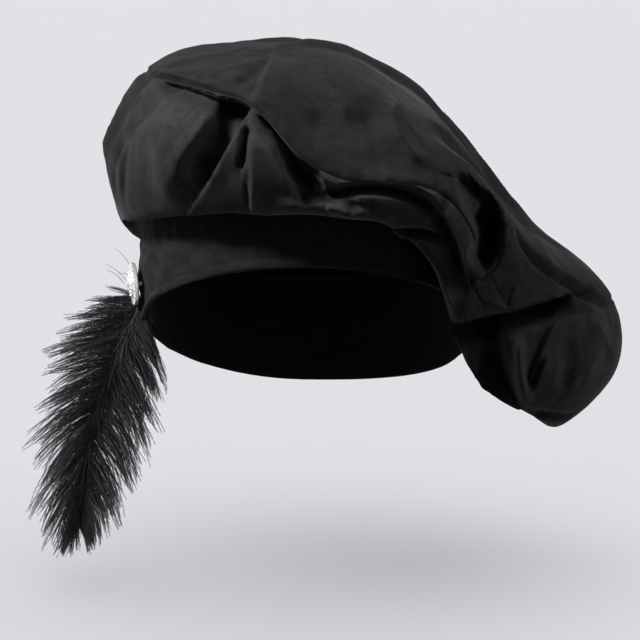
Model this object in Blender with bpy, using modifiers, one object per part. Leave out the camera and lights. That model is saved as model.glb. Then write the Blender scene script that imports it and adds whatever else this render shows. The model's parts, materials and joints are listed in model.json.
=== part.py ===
"""Soft velvet beret of the Tudor kind: an upright band, a floppy two-piece crown that flops over
one side, and an ostrich plume held by a stone-set brooch.

Metres, +Z up, as worn. The front of the hat looks along -Y and its drooping side lies towards +X.
The origin is the centre of the band's lower edge, where the hat sits on a head.
"""

import math

import bmesh
import bpy
import numpy as np
from mathutils import Matrix, Vector

# Band: a 580 mm head opening, worn tilted back.
BAND_HALF_WIDTH = 0.092
BAND_HALF_DEPTH = 0.098
BAND_HEIGHT = 0.055
BAND_WALL = 0.003
BAND_TILT = math.radians(27)
BAND_COLUMNS = 56
# Swell of the band's outer face, from its top edge (0) to its lower edge (1).
BAND_PROFILE = (
    # down, outward
    (0.00, -0.0015),
    (0.25, 0.0005),
    (0.50, 0.0010),
    (0.80, -0.0006),
    (1.00, -0.0018),
)

# Crown: two velvet pieces, sewn to the band and to each other.
CLOTH = 0.0018
SEAM_GAP = 0.0003
SEAM_THINNING = 0.35
CROWN_AXIS_Y = 0.020
CROWN_TOP = 0.154
HOOK_OUT = 0.0075
HOOK_UP = 0.0085
CROWDED_AZIMUTH = -62.0
FRONT_CROWDING = 0.45
# Vertical sections of the crown, at an azimuth from +X towards +Y: the outward reach and height of the
# lowest droop, the widest side, the rim seam, the shoulder and the top.
SECTIONS = (
    # azimuth, low_out, low_up, side_out, side_up, seam_out, seam_up,
    #          shoulder_out, shoulder_up, top_out, top_up
    (0, 0.143, -0.063, 0.177, -0.029, 0.175, 0.010, 0.116, 0.061, 0.060, 0.128),
    (20, 0.141, -0.057, 0.170, -0.027, 0.167, 0.004, 0.119, 0.062, 0.064, 0.125),
    (45, 0.138, -0.040, 0.165, -0.017, 0.161, 0.013, 0.128, 0.075, 0.072, 0.129),
    (70, 0.132, -0.025, 0.160, 0.000, 0.158, 0.034, 0.128, 0.093, 0.075, 0.137),
    (90, 0.128, -0.014, 0.150, 0.012, 0.148, 0.046, 0.120, 0.104, 0.074, 0.142),
    (120, 0.120, 0.004, 0.138, 0.032, 0.132, 0.068, 0.106, 0.117, 0.066, 0.146),
    (150, 0.112, 0.036, 0.121, 0.066, 0.111, 0.103, 0.084, 0.134, 0.050, 0.151),
    (180, 0.102, 0.053, 0.1095, 0.088, 0.089, 0.137, 0.072, 0.149, 0.038, 0.154),
    (205, 0.104, 0.059, 0.115, 0.094, 0.091, 0.139, 0.072, 0.149, 0.038, 0.154),
    (225, 0.108, 0.066, 0.121, 0.099, 0.094, 0.138, 0.070, 0.148, 0.037, 0.154),
    (250, 0.118, 0.073, 0.134, 0.104, 0.112, 0.135, 0.078, 0.148, 0.040, 0.154),
    (260, 0.119, 0.073, 0.137, 0.100, 0.126, 0.127, 0.088, 0.144, 0.045, 0.153),
    (270, 0.119, 0.073, 0.138, 0.091, 0.134, 0.105, 0.098, 0.139, 0.050, 0.153),
    (280, 0.119, 0.071, 0.136, 0.082, 0.135, 0.093, 0.103, 0.134, 0.054, 0.152),
    (292, 0.118, 0.066, 0.136, 0.078, 0.135, 0.091, 0.107, 0.128, 0.058, 0.149),
    (305, 0.120, 0.043, 0.134, 0.057, 0.138, 0.077, 0.116, 0.109, 0.062, 0.144),
    (320, 0.121, -0.022, 0.140, 0.000, 0.142, 0.021, 0.128, 0.076, 0.066, 0.135),
    (340, 0.140, -0.055, 0.160, -0.026, 0.160, 0.010, 0.122, 0.061, 0.063, 0.128),
)
STATIONS = 7
SEAM_STATION = 4
BEND_LIMIT = 1.7
VIEW_DISTANCE = 1.6
FOLD_SHARE = 0.58
FOLD_WIDTH = 7.0
VIEWS = {
    # name: azimuth of the eye, its elevation, in degrees
    "front": (-90, 10),
    "left": (0, 15),
    "right": (180, 15),
    "back": (90, 15),
    "above": (-90, 80),
}
# Folds as seen from a view, in mm: a path from its start by its middle to its end, how far it stands
# out (or lies in, if negative), its widths to the left and right of the path, how round its crest is,
# and the piece that it lies in: 1 for the underside, 2 for the top and 0 for both. The solid takes a
# share of their height and keeps them no narrower than its own faces.
FOLDS = (
    # view, x0, up0, x1, up1, x2, up2, height, left, right, round, piece
    ("front", -87, 141, -59, 132, -32, 121, 3.0, 16, 2.0, 0.3, 2),
    ("front", -82, 137, -57, 128, -33, 118, -8.0, 5, 15, 0.2, 1),
    ("front", -18, 152, -26, 137, -32, 123, -4.0, 4.0, 13, 0.5, 2),
    ("front", -16, 152, -23, 134, -28, 120, 1.8, 22, 4.0, 0.6, 2),
    ("front", -34, 120, -47, 95, -60, 71, -23, 2.5, 22, 0.3, 1),
    ("front", -31, 117, -43, 91, -55, 68, 2.0, 10, 2.5, 0.4, 1),
    ("front", -87, 117, -77, 96, -72, 68, 6.0, 18, 16, 1.0, 1),
    ("front", -31, 105, -31, 83, -30, 60, 8.0, 28, 1.4, 0.1, 1),
    ("front", -32, 102, -32, 83, -32, 62, -4.0, 1.4, 14, 0.3, 1),
    ("front", -27, 120, -10, 97, -2, 68, -17, 10, 2.5, 0.4, 1),
    ("front", 6, 75, 48, 73, 76, 59, -11, 1.6, 8, 0.5, 0),
    ("front", 72, 64, 83, 48, 89, 25, -11, 1.6, 7.5, 0.5, 0),
    ("front", -24, 63, 8, 60, 50, 54, 4.0, 9, 8, 1.0, 1),
    ("front", 20, 66, 25, 62, 26, 58, -1.5, 6, 6, 0.9, 1),
    ("front", 34, 67, 38, 62, 44, 57, -1.5, 6, 6, 0.9, 1),
    ("front", 34, 77, 60, 75, 77, 62, 6.5, 13, 1.4, 0.5, 0),
    ("front", 74, 64, 85, 48, 91, 24, 6.5, 12, 1.4, 0.5, 0),
    ("front", 108, 71, 114, 52, 97, 22, -24, 2.5, 18, 0.7, 0),
    ("front", 108, 78, 116, 55, 100, 25, 4.0, 20, 2.5, 0.5, 0),
    ("front", 108, 74, 129, 48, 146, 16, 5.0, 14, 10, 0.15, 0),
    ("front", 147, 16, 126, 7, 106, -1, 6.0, 1.8, 24, 0.2, 0),
    ("front", 146, 14, 126, 5, 96, -3, -12, 20, 2.0, 0.4, 0),
    ("front", 92, 26, 98, 13, 106, -1, -2.5, 1.6, 1.6, 0.5, 0),
    ("front", 147, 15, 137, -11, 128, -35, 6.0, 22, 2.0, 0.2, 0),
    ("front", 144, 13, 135, -12, 126, -36, -9, 2.0, 18, 0.35, 0),
    ("front", 123, -15, 118, -30, 123, -44, 5.0, 5, 4, 0.4, 0),
    ("front", 130, -46, 143, -48, 155, -47, -3.0, 1.6, 1.6, 0.3, 0),
    ("front", 54, 45, 71, 23, 85, 1, 5.0, 11, 2.5, 0.5, 1),
    ("front", 50, 49, 63, 52, 76, 48, -7, 1.5, 3.2, 0.5, 1),
    ("front", -87, 142, -56, 148, -21, 155, 2.0, 4, 5, 0.3, 2),
    ("front", -83, 139, -52, 140, -21, 148, 2.0, 3, 5, 0.3, 2),
    ("front", -59, 130, -39, 132, -24, 143, -2.0, 5, 5, 0.6, 2),
    ("front", 52, 128, 55, 106, 73, 86, -2.5, 18, 12, 1.0, 2),
    ("front", 45, 127, 45, 104, 59, 83, 2.0, 10, 16, 1.0, 2),
    ("front", -3, 148, 3, 124, 14, 96, -2.0, 16, 16, 1.0, 2),
    ("front", 14, 146, 22, 118, 29, 90, 2.0, 18, 16, 1.0, 2),
    ("front", -101, 115, -106, 90, -105, 68, -4.0, 3, 3, 0.5, 1),
    ("front", -96, 116, -100, 87, -100, 66, -3.0, 3, 4, 0.5, 1),
    ("front", 150, 6, 151, -13, 143, -40, -2.0, 9, 9, 1.0, 0),
    ("front", 165, 12, 163, -11, 154, -36, 2.0, 9, 9, 1.0, 0),
    ("back", 80, 128, 20, 96, -60, 40, -7, 12, 12, 0.8, 0),
    ("back", 40, 140, -40, 108, -120, 30, 5, 12, 14, 0.6, 0),
    ("back", 96, 100, 70, 60, 10, 20, -6, 10, 10, 0.8, 0),
    ("back", 60, 52, 0, 30, -70, 0, 5, 10, 12, 0.8, 0),
    ("back", -60, 70, -110, 30, -150, -20, -6, 10, 12, 0.7, 2),
    ("back", -40, -4, -90, -20, -130, -44, -3.5, 9, 9, 0.8, 1),
    ("left", -70, 100, -20, 60, 10, 10, -5, 14, 14, 0.9, 2),
    ("left", 60, 110, 50, 60, 20, 10, 5, 14, 14, 0.8, 2),
    ("left", 100, 60, 70, 20, 30, -30, -6, 11, 11, 0.8, 0),
    ("left", -50, 30, -40, 0, -10, -36, -6, 8, 9, 0.7, 0),
    ("left", 20, 0, 30, -20, 22, -44, -4, 7, 7, 0.8, 1),
    ("right", -50, 130, -20, 95, -24, 62, -5, 9, 10, 0.8, 1),
    ("right", 10, 128, 16, 96, 6, 62, 5, 8, 12, 0.6, 1),
    ("right", 50, 112, 40, 84, 18, 58, -3.0, 10, 10, 0.7, 1),
    ("above", -40, 60, 10, 90, 90, 100, -4, 14, 14, 0.9, 2),
    ("above", -20, 10, 40, 40, 120, 50, 4, 16, 16, 0.9, 2),
    ("above", -60, 100, -30, 130, 30, 140, 4, 12, 12, 0.8, 2),
)

# How finely the crown is meshed: cells along each side of the top's square net, and rows of the ring.
TOP_CELLS = 26
SEAM_STRIP = 0.0024
TOP_SPREAD = 1.25

# Plume: the quill's path, its half thickness, and the reach and droop of the barbs on both sides.
PLUME = (
    # x, y, z, radius, left_reach, left_drop, right_reach, right_drop (mm and degrees)
    (-92.9, 4, 14, 0.5, 4, -30, 3, 60),
    (-94.4, 2, 5.5, 0.8, 18, -32, 22, 52),
    (-99.5, -1, -4, 1.1, 32, -14, 38, 58),
    (-105, -3, -14, 1.1, 41, 4, 43, 62),
    (-110, -4, -29, 1.0, 46, 16, 44, 64),
    (-115, -5, -45, 0.9, 50, 32, 45, 67),
    (-120, -6, -62, 0.8, 47, 50, 43, 66),
    (-124, -7, -84, 0.7, 38, 60, 35, 66),
    (-126, -7, -104, 0.6, 25, 68, 22, 68),
    (-127, -7, -116, 0.5, 13, 80, 12, 80),
)
QUILL_STEPS = 14
LOCKS_PER_SIDE = 12
LEFT_LOCKS_FROM = 0.2
RIGHT_LOCKS_FROM = 0.24
LOCKS_TO = 0.97
LOCK_WIDTH = 0.0140
LOCK_THICKNESS = 0.0060
LOCK_FAN = math.radians(20)
LOCK_CURL = 0.006

# Brooch: a two-tier round setting with channels, as (radius, height) in mm from its back.
BROOCH_TURN = math.radians(187)
BROOCH_HEIGHT = 0.018
BROOCH_LEAN = math.radians(6)
BROOCH_FACING = math.radians(5)
BROOCH_STANDOFF = 0.0029
SETTING_SEGMENTS = 28
SETTING_PROFILE = (
    # radius, height
    (0.0, 2.1),
    (0.5, 2.1),
    (2.95, 4.2),
    (3.3, 4.2),
    (3.45, 3.4),
    (5.0, 2.0),
    (5.4, 2.0),
    (6.95, 3.4),
    (7.3, 3.4),
    (7.55, 2.1),
    (9.3, 0.5),
    (9.9, 0.5),
    (11.65, 2.1),
    (12.0, 2.1),
    (12.0, 0.5),
    (11.6, 0.0),
    (0.0, 0.0),
)
STONES = (
    # name, count, ring_radius, girdle_height, girdle_radius (mm)
    ("centre", 1, 0.0, 4.1, 2.75),
    ("inner", 8, 5.2, 3.3, 1.5),
    ("outer", 14, 9.6, 2.0, 1.85),
)
STONE_TABLE = 0.55
STONE_CROWN = 0.36
STONE_GIRDLE = 0.08
STONE_PAVILION = 0.62
PIN_HOLE = 0.0016
PIN_SEGMENTS = 12
PIN_PROFILE = (
    # radius, height: the head behind the setting, the shank through the band, the clutch inside it
    (0.0, -0.3),
    (2.2, -0.3),
    (2.2, -0.9),
    (1.2, -1.2),
    (1.2, -7.6),
    (4.0, -7.6),
    (4.0, -8.6),
    (0.0, -8.6),
)
RING_LEVELS = (0.0, 0.12, 0.28, 0.42, 0.55, 0.68, 0.80, 0.90)
BAND_SAG_TURN = 40
BAND_SAG_SPREAD = 32
BAND_SAG_OUT = 0.010
BAND_SAG_DOWN = 0.006
BAND_REAR_DROP = 0.006


def periodic(azimuth, knots, values):
    """Values at an azimuth in degrees, on a smooth closed curve through the knots."""
    knots = np.asarray(knots, float)
    values = np.asarray(values, float)
    turn = 360.0
    at = np.concatenate([knots[-2:] - turn, knots, knots[:2] + turn])
    table = np.concatenate([values[-2:], values, values[:2]])
    slope = (table[2:] - table[:-2]) / (at[2:] - at[:-2])[:, None]
    azimuth = np.mod(azimuth, turn)
    cell = np.clip(np.searchsorted(at, azimuth, side="right") - 1, 1, len(at) - 3)
    span = (at[cell + 1] - at[cell])[..., None]
    t = (azimuth - at[cell])[..., None] / span
    start, end = table[cell], table[cell + 1]
    pull, push = slope[cell - 1] * span, slope[cell] * span
    return (
        start * (1 + 2 * t) * (1 - t) ** 2
        + pull * t * (1 - t) ** 2
        + end * t * t * (3 - 2 * t)
        - push * t * t * (1 - t)
    )


def band_frame():
    """Axes of the tilted band: across, towards its back, and up its wall."""
    return (
        np.array([1.0, 0.0, 0.0]),
        np.array([0.0, math.cos(BAND_TILT), -math.sin(BAND_TILT)]),
        np.array([0.0, math.sin(BAND_TILT), math.cos(BAND_TILT)]),
    )


def band_point(turn, height, inset):
    """A point on the band's oval: turn in radians, height up its wall, inset from its outer face."""
    across, back, up = band_frame()
    turn = np.asarray(turn, float)[..., None]
    return (
        across * (BAND_HALF_WIDTH - inset) * np.cos(turn)
        + back * (BAND_HALF_DEPTH - inset) * np.sin(turn)
        + up * height
    )


def band_turn(azimuth):
    """The oval's own angle whose top edge lies at this azimuth about the crown's axis."""
    _, back, up = band_frame()
    turn = np.radians(azimuth)
    for _ in range(12):
        point = band_point(turn, BAND_HEIGHT, 0)
        seen = np.arctan2(point[..., 1] - CROWN_AXIS_Y, point[..., 0])
        miss = np.mod(np.radians(azimuth) - seen + math.pi, 2 * math.pi) - math.pi
        turn = turn + miss
    return turn


def section_controls(azimuth):
    """The control points of the crown's section at each azimuth, as (..., station, xyz)."""
    table = np.array(SECTIONS)
    sizes = periodic(azimuth, table[:, 0], table[:, 1:])
    angle = np.radians(azimuth)[..., None]
    outward = np.concatenate([np.cos(angle), np.sin(angle), np.zeros_like(angle)], -1)
    axis = np.array([0.0, CROWN_AXIS_Y, 0.0])
    up = np.array([0.0, 0.0, 1.0])
    turn = band_turn(azimuth)
    edge = band_point(turn, BAND_HEIGHT + SEAM_GAP, BAND_WALL / 2)
    hook = band_point(turn, BAND_HEIGHT + HOOK_UP, -HOOK_OUT)
    points = [edge, hook]
    for column in range(0, sizes.shape[-1], 2):
        out, height = sizes[..., column, None], sizes[..., column + 1, None]
        points.append(axis + outward * out + up * height)
    points.append(np.broadcast_to(axis + up * CROWN_TOP, edge.shape))
    far = sizes[..., -2, None], sizes[..., -1, None]
    points.append(axis - outward * far[0] + up * far[1])
    below = band_point(turn, BAND_HEIGHT - HOOK_UP, BAND_WALL / 2)
    return np.stack([below, *points], -2)


def crown_base(azimuth, station):
    """The crown without folds: station 0 at the band, 4 at the rim seam, 7 at the crown's top."""
    controls = section_controls(azimuth)
    step = np.linalg.norm(np.diff(controls, axis=-2), axis=-1) ** 0.7
    chord = np.diff(controls, axis=-2) / step[..., None]
    before, after = step[..., :-1, None], step[..., 1:, None]
    tangent = (chord[..., :-1, :] * after + chord[..., 1:, :] * before) / (before + after)
    length = np.linalg.norm(np.diff(controls, axis=-2), axis=-1, keepdims=True)
    longest = BEND_LIMIT * np.minimum(length[..., :-1, :], length[..., 1:, :])
    cell = np.clip(np.floor(station).astype(int), 0, STATIONS - 1)
    t = (station - cell)[..., None]
    pick = cell[..., None, None]
    start = np.take_along_axis(controls, pick + 1, -2)[..., 0, :]
    end = np.take_along_axis(controls, pick + 2, -2)[..., 0, :]
    span = np.take_along_axis(step, pick[..., 0] + 1, -1)
    leave = np.take_along_axis(tangent, pick, -2)[..., 0, :] * span
    arrive = np.take_along_axis(tangent, pick + 1, -2)[..., 0, :] * span
    for pull, at in ((leave, pick), (arrive, pick + 1)):
        most = np.take_along_axis(longest, at, -2)[..., 0, :]
        pull *= np.minimum(1.0, most / np.maximum(np.linalg.norm(pull, axis=-1, keepdims=True), 1e-9))
    return (
        start * (1 + 2 * t) * (1 - t) ** 2
        + leave * t * (1 - t) ** 2
        + end * t * t * (3 - 2 * t)
        - arrive * t * t * (1 - t)
    )


def crown_normal(azimuth, station):
    """The unfolded crown's outward unit normal."""
    azimuth, station = np.broadcast_arrays(np.asarray(azimuth, float), np.asarray(station, float))
    reach = np.clip(station, 0.02, STATIONS - 0.02)
    along = crown_base(azimuth, reach + 0.01) - crown_base(azimuth, reach - 0.01)
    around = crown_base(azimuth + 0.5, reach) - crown_base(azimuth - 0.5, reach)
    normal = np.cross(around, along)
    return normal / np.maximum(np.linalg.norm(normal, axis=-1, keepdims=True), 1e-12)


def view_axes(view):
    """A view's directions: to its right, up, and towards the eye."""
    azimuth, elevation = (math.radians(value) for value in VIEWS[view])
    eye = np.array([
        math.cos(azimuth) * math.cos(elevation),
        math.sin(azimuth) * math.cos(elevation),
        math.sin(elevation),
    ])
    right = np.array([-math.sin(azimuth), math.cos(azimuth), 0.0])
    return right, np.cross(eye, right), eye


def smooth(value):
    """A soft step from 0 to 1."""
    value = np.clip(value, 0, 1)
    return value * value * (3 - 2 * value)


def fold_height(points, normals, station, folds):
    """How far the folds move each point along its normal, in metres."""
    total = np.zeros(points.shape[:-1])
    for view in VIEWS:
        right, up, eye = view_axes(view)
        scale = VIEW_DISTANCE / (VIEW_DISTANCE - points @ eye) * 1000
        across, above = points @ right * scale, points @ up * scale
        facing = smooth((normals @ eye - 0.08) / 0.4)
        for row in folds:
            if row[0] != view:
                continue
            x0, up0, x1, up1, x2, up2, height, left, side, crest, piece = row[1:]
            t = np.linspace(0, 1, 25)
            middle_x, middle_up = 2 * x1 - (x0 + x2) / 2, 2 * up1 - (up0 + up2) / 2
            path_x = (1 - t) ** 2 * x0 + 2 * t * (1 - t) * middle_x + t * t * x2
            path_up = (1 - t) ** 2 * up0 + 2 * t * (1 - t) * middle_up + t * t * up2
            left, side, height = max(left, FOLD_WIDTH), max(side, FOLD_WIDTH), height * FOLD_SHARE
            reach = max(left, side)
            near = (
                (facing > 0)
                & (across > path_x.min() - reach) & (across < path_x.max() + reach)
                & (above > path_up.min() - reach) & (above < path_up.max() + reach)
            )
            if not near.any():
                continue
            dx = across[near][:, None] - path_x[None, :-1]
            du = above[near][:, None] - path_up[None, :-1]
            step_x, step_up = np.diff(path_x), np.diff(path_up)
            length = np.hypot(step_x, step_up)
            run = np.clip((dx * step_x + du * step_up) / length**2, 0, 1)
            gap = np.hypot(dx - run * step_x, du - run * step_up)
            nearest = gap.argmin(1)
            pick = np.arange(len(nearest))
            distance = gap[pick, nearest]
            cross = (step_x * du - step_up * dx)[pick, nearest]
            place = (nearest + run[pick, nearest]) / len(length)
            share = np.clip(distance / np.where(cross > 0, left, side), 0, 1)
            crested = crest * (1 - share**2) ** 2 + (1 - crest) * (1 - share) ** 2
            ends = smooth(place / 0.22) * smooth((1 - place) / 0.22)
            ends = 0.15 + 0.85 * ends
            from_seam = station[near] - SEAM_STATION
            own = {
                0: smooth((np.abs(from_seam) - 0.05) / 0.45),
                1: smooth((-from_seam - 0.1) / 0.3),
                2: smooth((from_seam - 0.05) / 0.25),
            }[piece]
            total[near] += height / 1000 * crested * ends * own * facing[near]
    return total * smooth(station / 0.9)


def crown_point(azimuth, station, folds=FOLDS):
    """A point of the crown's outer face."""
    azimuth, station = np.broadcast_arrays(np.asarray(azimuth, float), np.asarray(station, float))
    base = crown_base(azimuth, station)
    normal = crown_normal(azimuth, station)
    return base + normal * fold_height(base, normal, station, folds)[..., None]


def column_azimuth(share):
    """The azimuth of a column, at a share of the way round, closer set where the folds are."""
    turn = share * 360.0
    return CROWDED_AZIMUTH + turn - math.degrees(FRONT_CROWDING) * np.sin(np.radians(turn))


def seam_offset(azimuth, distance):
    """The change of station that moves a point by a distance near the rim seam."""
    edge = crown_base(azimuth, np.full_like(azimuth, SEAM_STATION + 0.01))
    speed = np.linalg.norm(edge - crown_base(azimuth, np.full_like(azimuth, SEAM_STATION - 0.01)), axis=-1)
    return distance / (speed / 0.02)


def new_object(name, collection, bm, material, smooth_faces=True):
    mesh = bpy.data.meshes.new(name)
    bmesh.ops.recalc_face_normals(bm, faces=bm.faces)
    bm.to_mesh(mesh)
    bm.free()
    for polygon in mesh.polygons:
        polygon.use_smooth = smooth_faces
    item = bpy.data.objects.new(name, mesh)
    item.data.materials.append(material)
    collection.objects.link(item)
    return item


def new_material(name, colour, roughness, metallic=0.0, transmission=0.0):
    material = bpy.data.materials.new(name)
    material.use_nodes = True
    shader = material.node_tree.nodes["Principled BSDF"]
    shader.inputs["Base Color"].default_value = (*colour, 1.0)
    shader.inputs["Roughness"].default_value = roughness
    shader.inputs["Metallic"].default_value = metallic
    shader.inputs["Transmission Weight"].default_value = transmission
    material.diffuse_color = (*colour, 1.0)
    return material


def grid_faces(bm, rows, closed=True):
    """Quads between rows of vertices."""
    for lower, upper in zip(rows, rows[1:]):
        count = len(lower) if closed else len(lower) - 1
        for i in range(count):
            j = (i + 1) % len(lower)
            bm.faces.new((lower[i], lower[j], upper[j], upper[i]))


def add_shell(item, thickness, seam):
    """Gives cloth its thickness, less at the vertices of its seam, where the real edge is turned in."""
    group = item.vertex_groups.new(name="cloth")
    group.add([v.index for v in item.data.vertices], 1.0, "REPLACE")
    group.add(seam, SEAM_THINNING, "REPLACE")
    shell = item.modifiers.new("Cloth", "SOLIDIFY")
    shell.thickness = thickness
    shell.vertex_group = group.name
    shell.offset = -1.0
    shell.use_even_offset = False
    shell.use_rim = True


def make_band(collection, material, cutters):
    """The band's wall, lofted round its oval, with a hole for the brooch's pin."""
    bm = bmesh.new()
    rows = []
    inner = [(down, -BAND_WALL) for down in (1.0, 0.0)]
    outline = [(down, bulge) for down, bulge in BAND_PROFILE] + inner
    for down, bulge in outline:
        ring = []
        for column in range(BAND_COLUMNS):
            turn = 2 * math.pi * column / BAND_COLUMNS
            ring.append(bm.verts.new(Vector(band_wall(turn, down, bulge))))
        rows.append(ring)
    grid_faces(bm, [*rows, rows[0]])
    band = new_object("band", collection, bm, material)
    drill = bmesh.new()
    bmesh.ops.create_cone(
        drill, cap_ends=True, segments=12, radius1=PIN_HOLE, radius2=PIN_HOLE, depth=0.016,
        matrix=brooch_matrix() @ Matrix.Translation((0, 0, -0.0045)),
    )
    cutter = new_object("pin_drill", cutters, drill, material, False)
    cutter.hide_render = True
    cutter.display_type = "WIRE"
    cut = band.modifiers.new("Pin hole", "BOOLEAN")
    cut.operation = "DIFFERENCE"
    cut.solver = "EXACT"
    cut.object = cutter
    return band


def band_wall(turn, down, bulge):
    """A point of the band's wall, by its turn, how far down it lies and how far out of the oval."""
    across, back, up = band_frame()
    lower = down * np.exp(-((math.degrees(turn) - BAND_SAG_TURN) / BAND_SAG_SPREAD) ** 2)
    rear = down * max(0.0, math.sin(turn)) ** 2
    point = band_point(turn, BAND_HEIGHT * (1 - down), -bulge)
    return point + across * BAND_SAG_OUT * lower - up * (BAND_SAG_DOWN * lower + BAND_REAR_DROP * rear)


def make_underside(collection, material):
    """The crown's lower piece, a ring from the band to the rim seam."""
    count = 4 * TOP_CELLS
    azimuth = column_azimuth(np.arange(count) / count)
    end = SEAM_STATION - seam_offset(azimuth, SEAM_GAP / 2 + 0.00005)
    strip = SEAM_STATION - seam_offset(azimuth, SEAM_STRIP)
    bm = bmesh.new()
    rows = []
    levels = [SEAM_STATION * share for share in RING_LEVELS]
    for level in [*levels, strip, end]:
        points = crown_point(azimuth, np.broadcast_to(level, azimuth.shape))
        rows.append([bm.verts.new(Vector(point)) for point in points])
    grid_faces(bm, rows)
    item = new_object("crown_underside", collection, bm, material)
    add_shell(item, CLOTH, list(range(len(item.data.vertices) - count, len(item.data.vertices))))
    return item


def make_top(collection, material):
    """The crown's upper piece, a disc from the rim seam over the top, on a net of squares."""
    half = TOP_CELLS // 2
    bm = bmesh.new()
    ring_azimuth = column_azimuth(np.arange(4 * TOP_CELLS) / (4 * TOP_CELLS))
    start = SEAM_STATION + seam_offset(ring_azimuth, SEAM_GAP / 2 + 0.00005)
    strip = SEAM_STATION + seam_offset(ring_azimuth, SEAM_STRIP)
    edge = []
    for level in (start, strip):
        points = crown_point(ring_azimuth, level)
        edge.append([bm.verts.new(Vector(point)) for point in points])
    grid_faces(bm, edge)
    net = {}
    for i in range(-half, half + 1):
        for j in range(-half, half + 1):
            ring = max(abs(i), abs(j))
            if ring == half:
                net[i, j] = edge[1][perimeter(i, j, half) % len(edge[1])]
                continue
            share = perimeter(i, j, ring) / (8 * ring) if ring else 0.0
            azimuth = column_azimuth(np.array(share))
            base = SEAM_STATION + seam_offset(azimuth, SEAM_STRIP)
            station = base + (STATIONS - base) * (1 - ring / half) ** TOP_SPREAD
            net[i, j] = bm.verts.new(Vector(crown_point(azimuth, station)))
    for i in range(-half, half):
        for j in range(-half, half):
            bm.faces.new((net[i, j], net[i + 1, j], net[i + 1, j + 1], net[i, j + 1]))
    item = new_object("crown_top", collection, bm, material)
    add_shell(item, CLOTH, list(range(4 * TOP_CELLS)))
    return item


def perimeter(i, j, ring):
    """The place of a net point on its square ring, in steps round from the ring's front corner."""
    if j == -ring and i < ring:
        return i + ring
    if i == ring and j < ring:
        return 2 * ring + j + ring
    if j == ring and i > -ring:
        return 4 * ring + ring - i
    return 6 * ring + ring - j


def plume_row(share):
    """The plume's row at a share of its length, interpolated."""
    table = np.array(PLUME)
    at = share * (len(table) - 1)
    cell = min(int(at), len(table) - 2)
    t = at - cell
    before = table[max(cell - 1, 0)]
    after = table[min(cell + 2, len(table) - 1)]
    start, end = table[cell], table[cell + 1]
    pull, push = (end - before) / 2, (after - start) / 2
    return (
        start * (1 + 2 * t) * (1 - t) ** 2 + pull * t * (1 - t) ** 2
        + end * t * t * (3 - 2 * t) - push * t * t * (1 - t)
    )


def add_lock(bm, root, tip, curl, width, thickness, twist):
    """A tapered, flattened lock of barbs from the quill to its tip, with a bend out of its plane."""
    along = tip - root
    length = along.length
    along.normalize()
    out = Vector((0, 1, 0))
    across = along.cross(out).normalized()
    face = (out * math.cos(twist) + across * math.sin(twist)).normalized()
    across = along.cross(face).normalized()
    rings = []
    for share, wide in ((0.0, 0.55), (0.3, 1.0), (0.65, 0.8)):
        centre = root + along * length * share + out * curl * share * share
        half_width, half_depth = width * wide / 2, thickness * (1 - 0.5 * share) / 2
        rings.append([
            bm.verts.new(centre + across * half_width),
            bm.verts.new(centre + face * half_depth),
            bm.verts.new(centre - across * half_width),
            bm.verts.new(centre - face * half_depth),
        ])
    grid_faces(bm, rings)
    end = bm.verts.new(tip + out * curl)
    for i in range(4):
        bm.faces.new((rings[-1][i], rings[-1][(i + 1) % 4], end))
    bm.faces.new(rings[0])


def make_quill(collection, material):
    """The quill: a tapered tube along the plume's path, made a mesh so that the locks can join it."""
    curve = bpy.data.curves.new("quill_path", "CURVE")
    curve.dimensions = "3D"
    curve.bevel_depth = 0.001
    curve.bevel_resolution = 1
    curve.use_fill_caps = True
    path = curve.splines.new("POLY")
    path.points.add(QUILL_STEPS)
    for step, point in enumerate(path.points):
        row = plume_row(step / QUILL_STEPS)
        point.co = (*Vector(row[:3]) / 1000, 1)
        point.radius = row[3]
    guide = bpy.data.objects.new("quill_guide", curve)
    collection.objects.link(guide)
    placed = guide.evaluated_get(bpy.context.evaluated_depsgraph_get())
    bm = bmesh.new()
    bm.from_mesh(bpy.data.meshes.new_from_object(placed))
    bmesh.ops.remove_doubles(bm, verts=bm.verts, dist=0.00001)
    bpy.data.objects.remove(guide, do_unlink=True)
    return new_object("plume", collection, bm, material)


def make_plume(collection, material, cutters):
    """The quill with flattened locks of barbs on both sides, fused into one solid."""
    plume = make_quill(collection, material)
    locks = bmesh.new()
    for side in (-1, 1):
        for index in range(LOCKS_PER_SIDE):
            first = LEFT_LOCKS_FROM if side < 0 else RIGHT_LOCKS_FROM
            share = first + (LOCKS_TO - first) * index / (LOCKS_PER_SIDE - 1)
            row = plume_row(share)
            reach, drop = (row[4], row[5]) if side < 0 else (row[6], row[7])
            angle = math.radians(drop)
            fan = LOCK_FAN * (1 if (index + (side > 0)) % 2 else -1)
            direction = Vector((
                side * math.cos(angle) * math.cos(fan), math.sin(fan), -math.sin(angle) * math.cos(fan)
            ))
            root = Vector(row[:3]) / 1000 - direction * row[3] / 2000
            tip = root + direction * reach / 1000
            curl = LOCK_CURL * (1 if (index + (side > 0)) % 2 else -1)
            add_lock(
                locks, root, tip, curl, LOCK_WIDTH, LOCK_THICKNESS,
                math.radians(16 if index % 2 else -14),
            )
    lock_item = new_object("plume_locks", cutters, locks, material, False)
    fuse = plume.modifiers.new("Locks", "BOOLEAN")
    fuse.operation = "UNION"
    fuse.solver = "EXACT"
    fuse.use_self = True
    fuse.object = lock_item
    fused = bpy.data.meshes.new_from_object(plume.evaluated_get(bpy.context.evaluated_depsgraph_get()))
    plume.modifiers.remove(fuse)
    bpy.data.objects.remove(lock_item, do_unlink=True)
    plume.data = fused
    fill_hollows(fused)
    return plume


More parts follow.
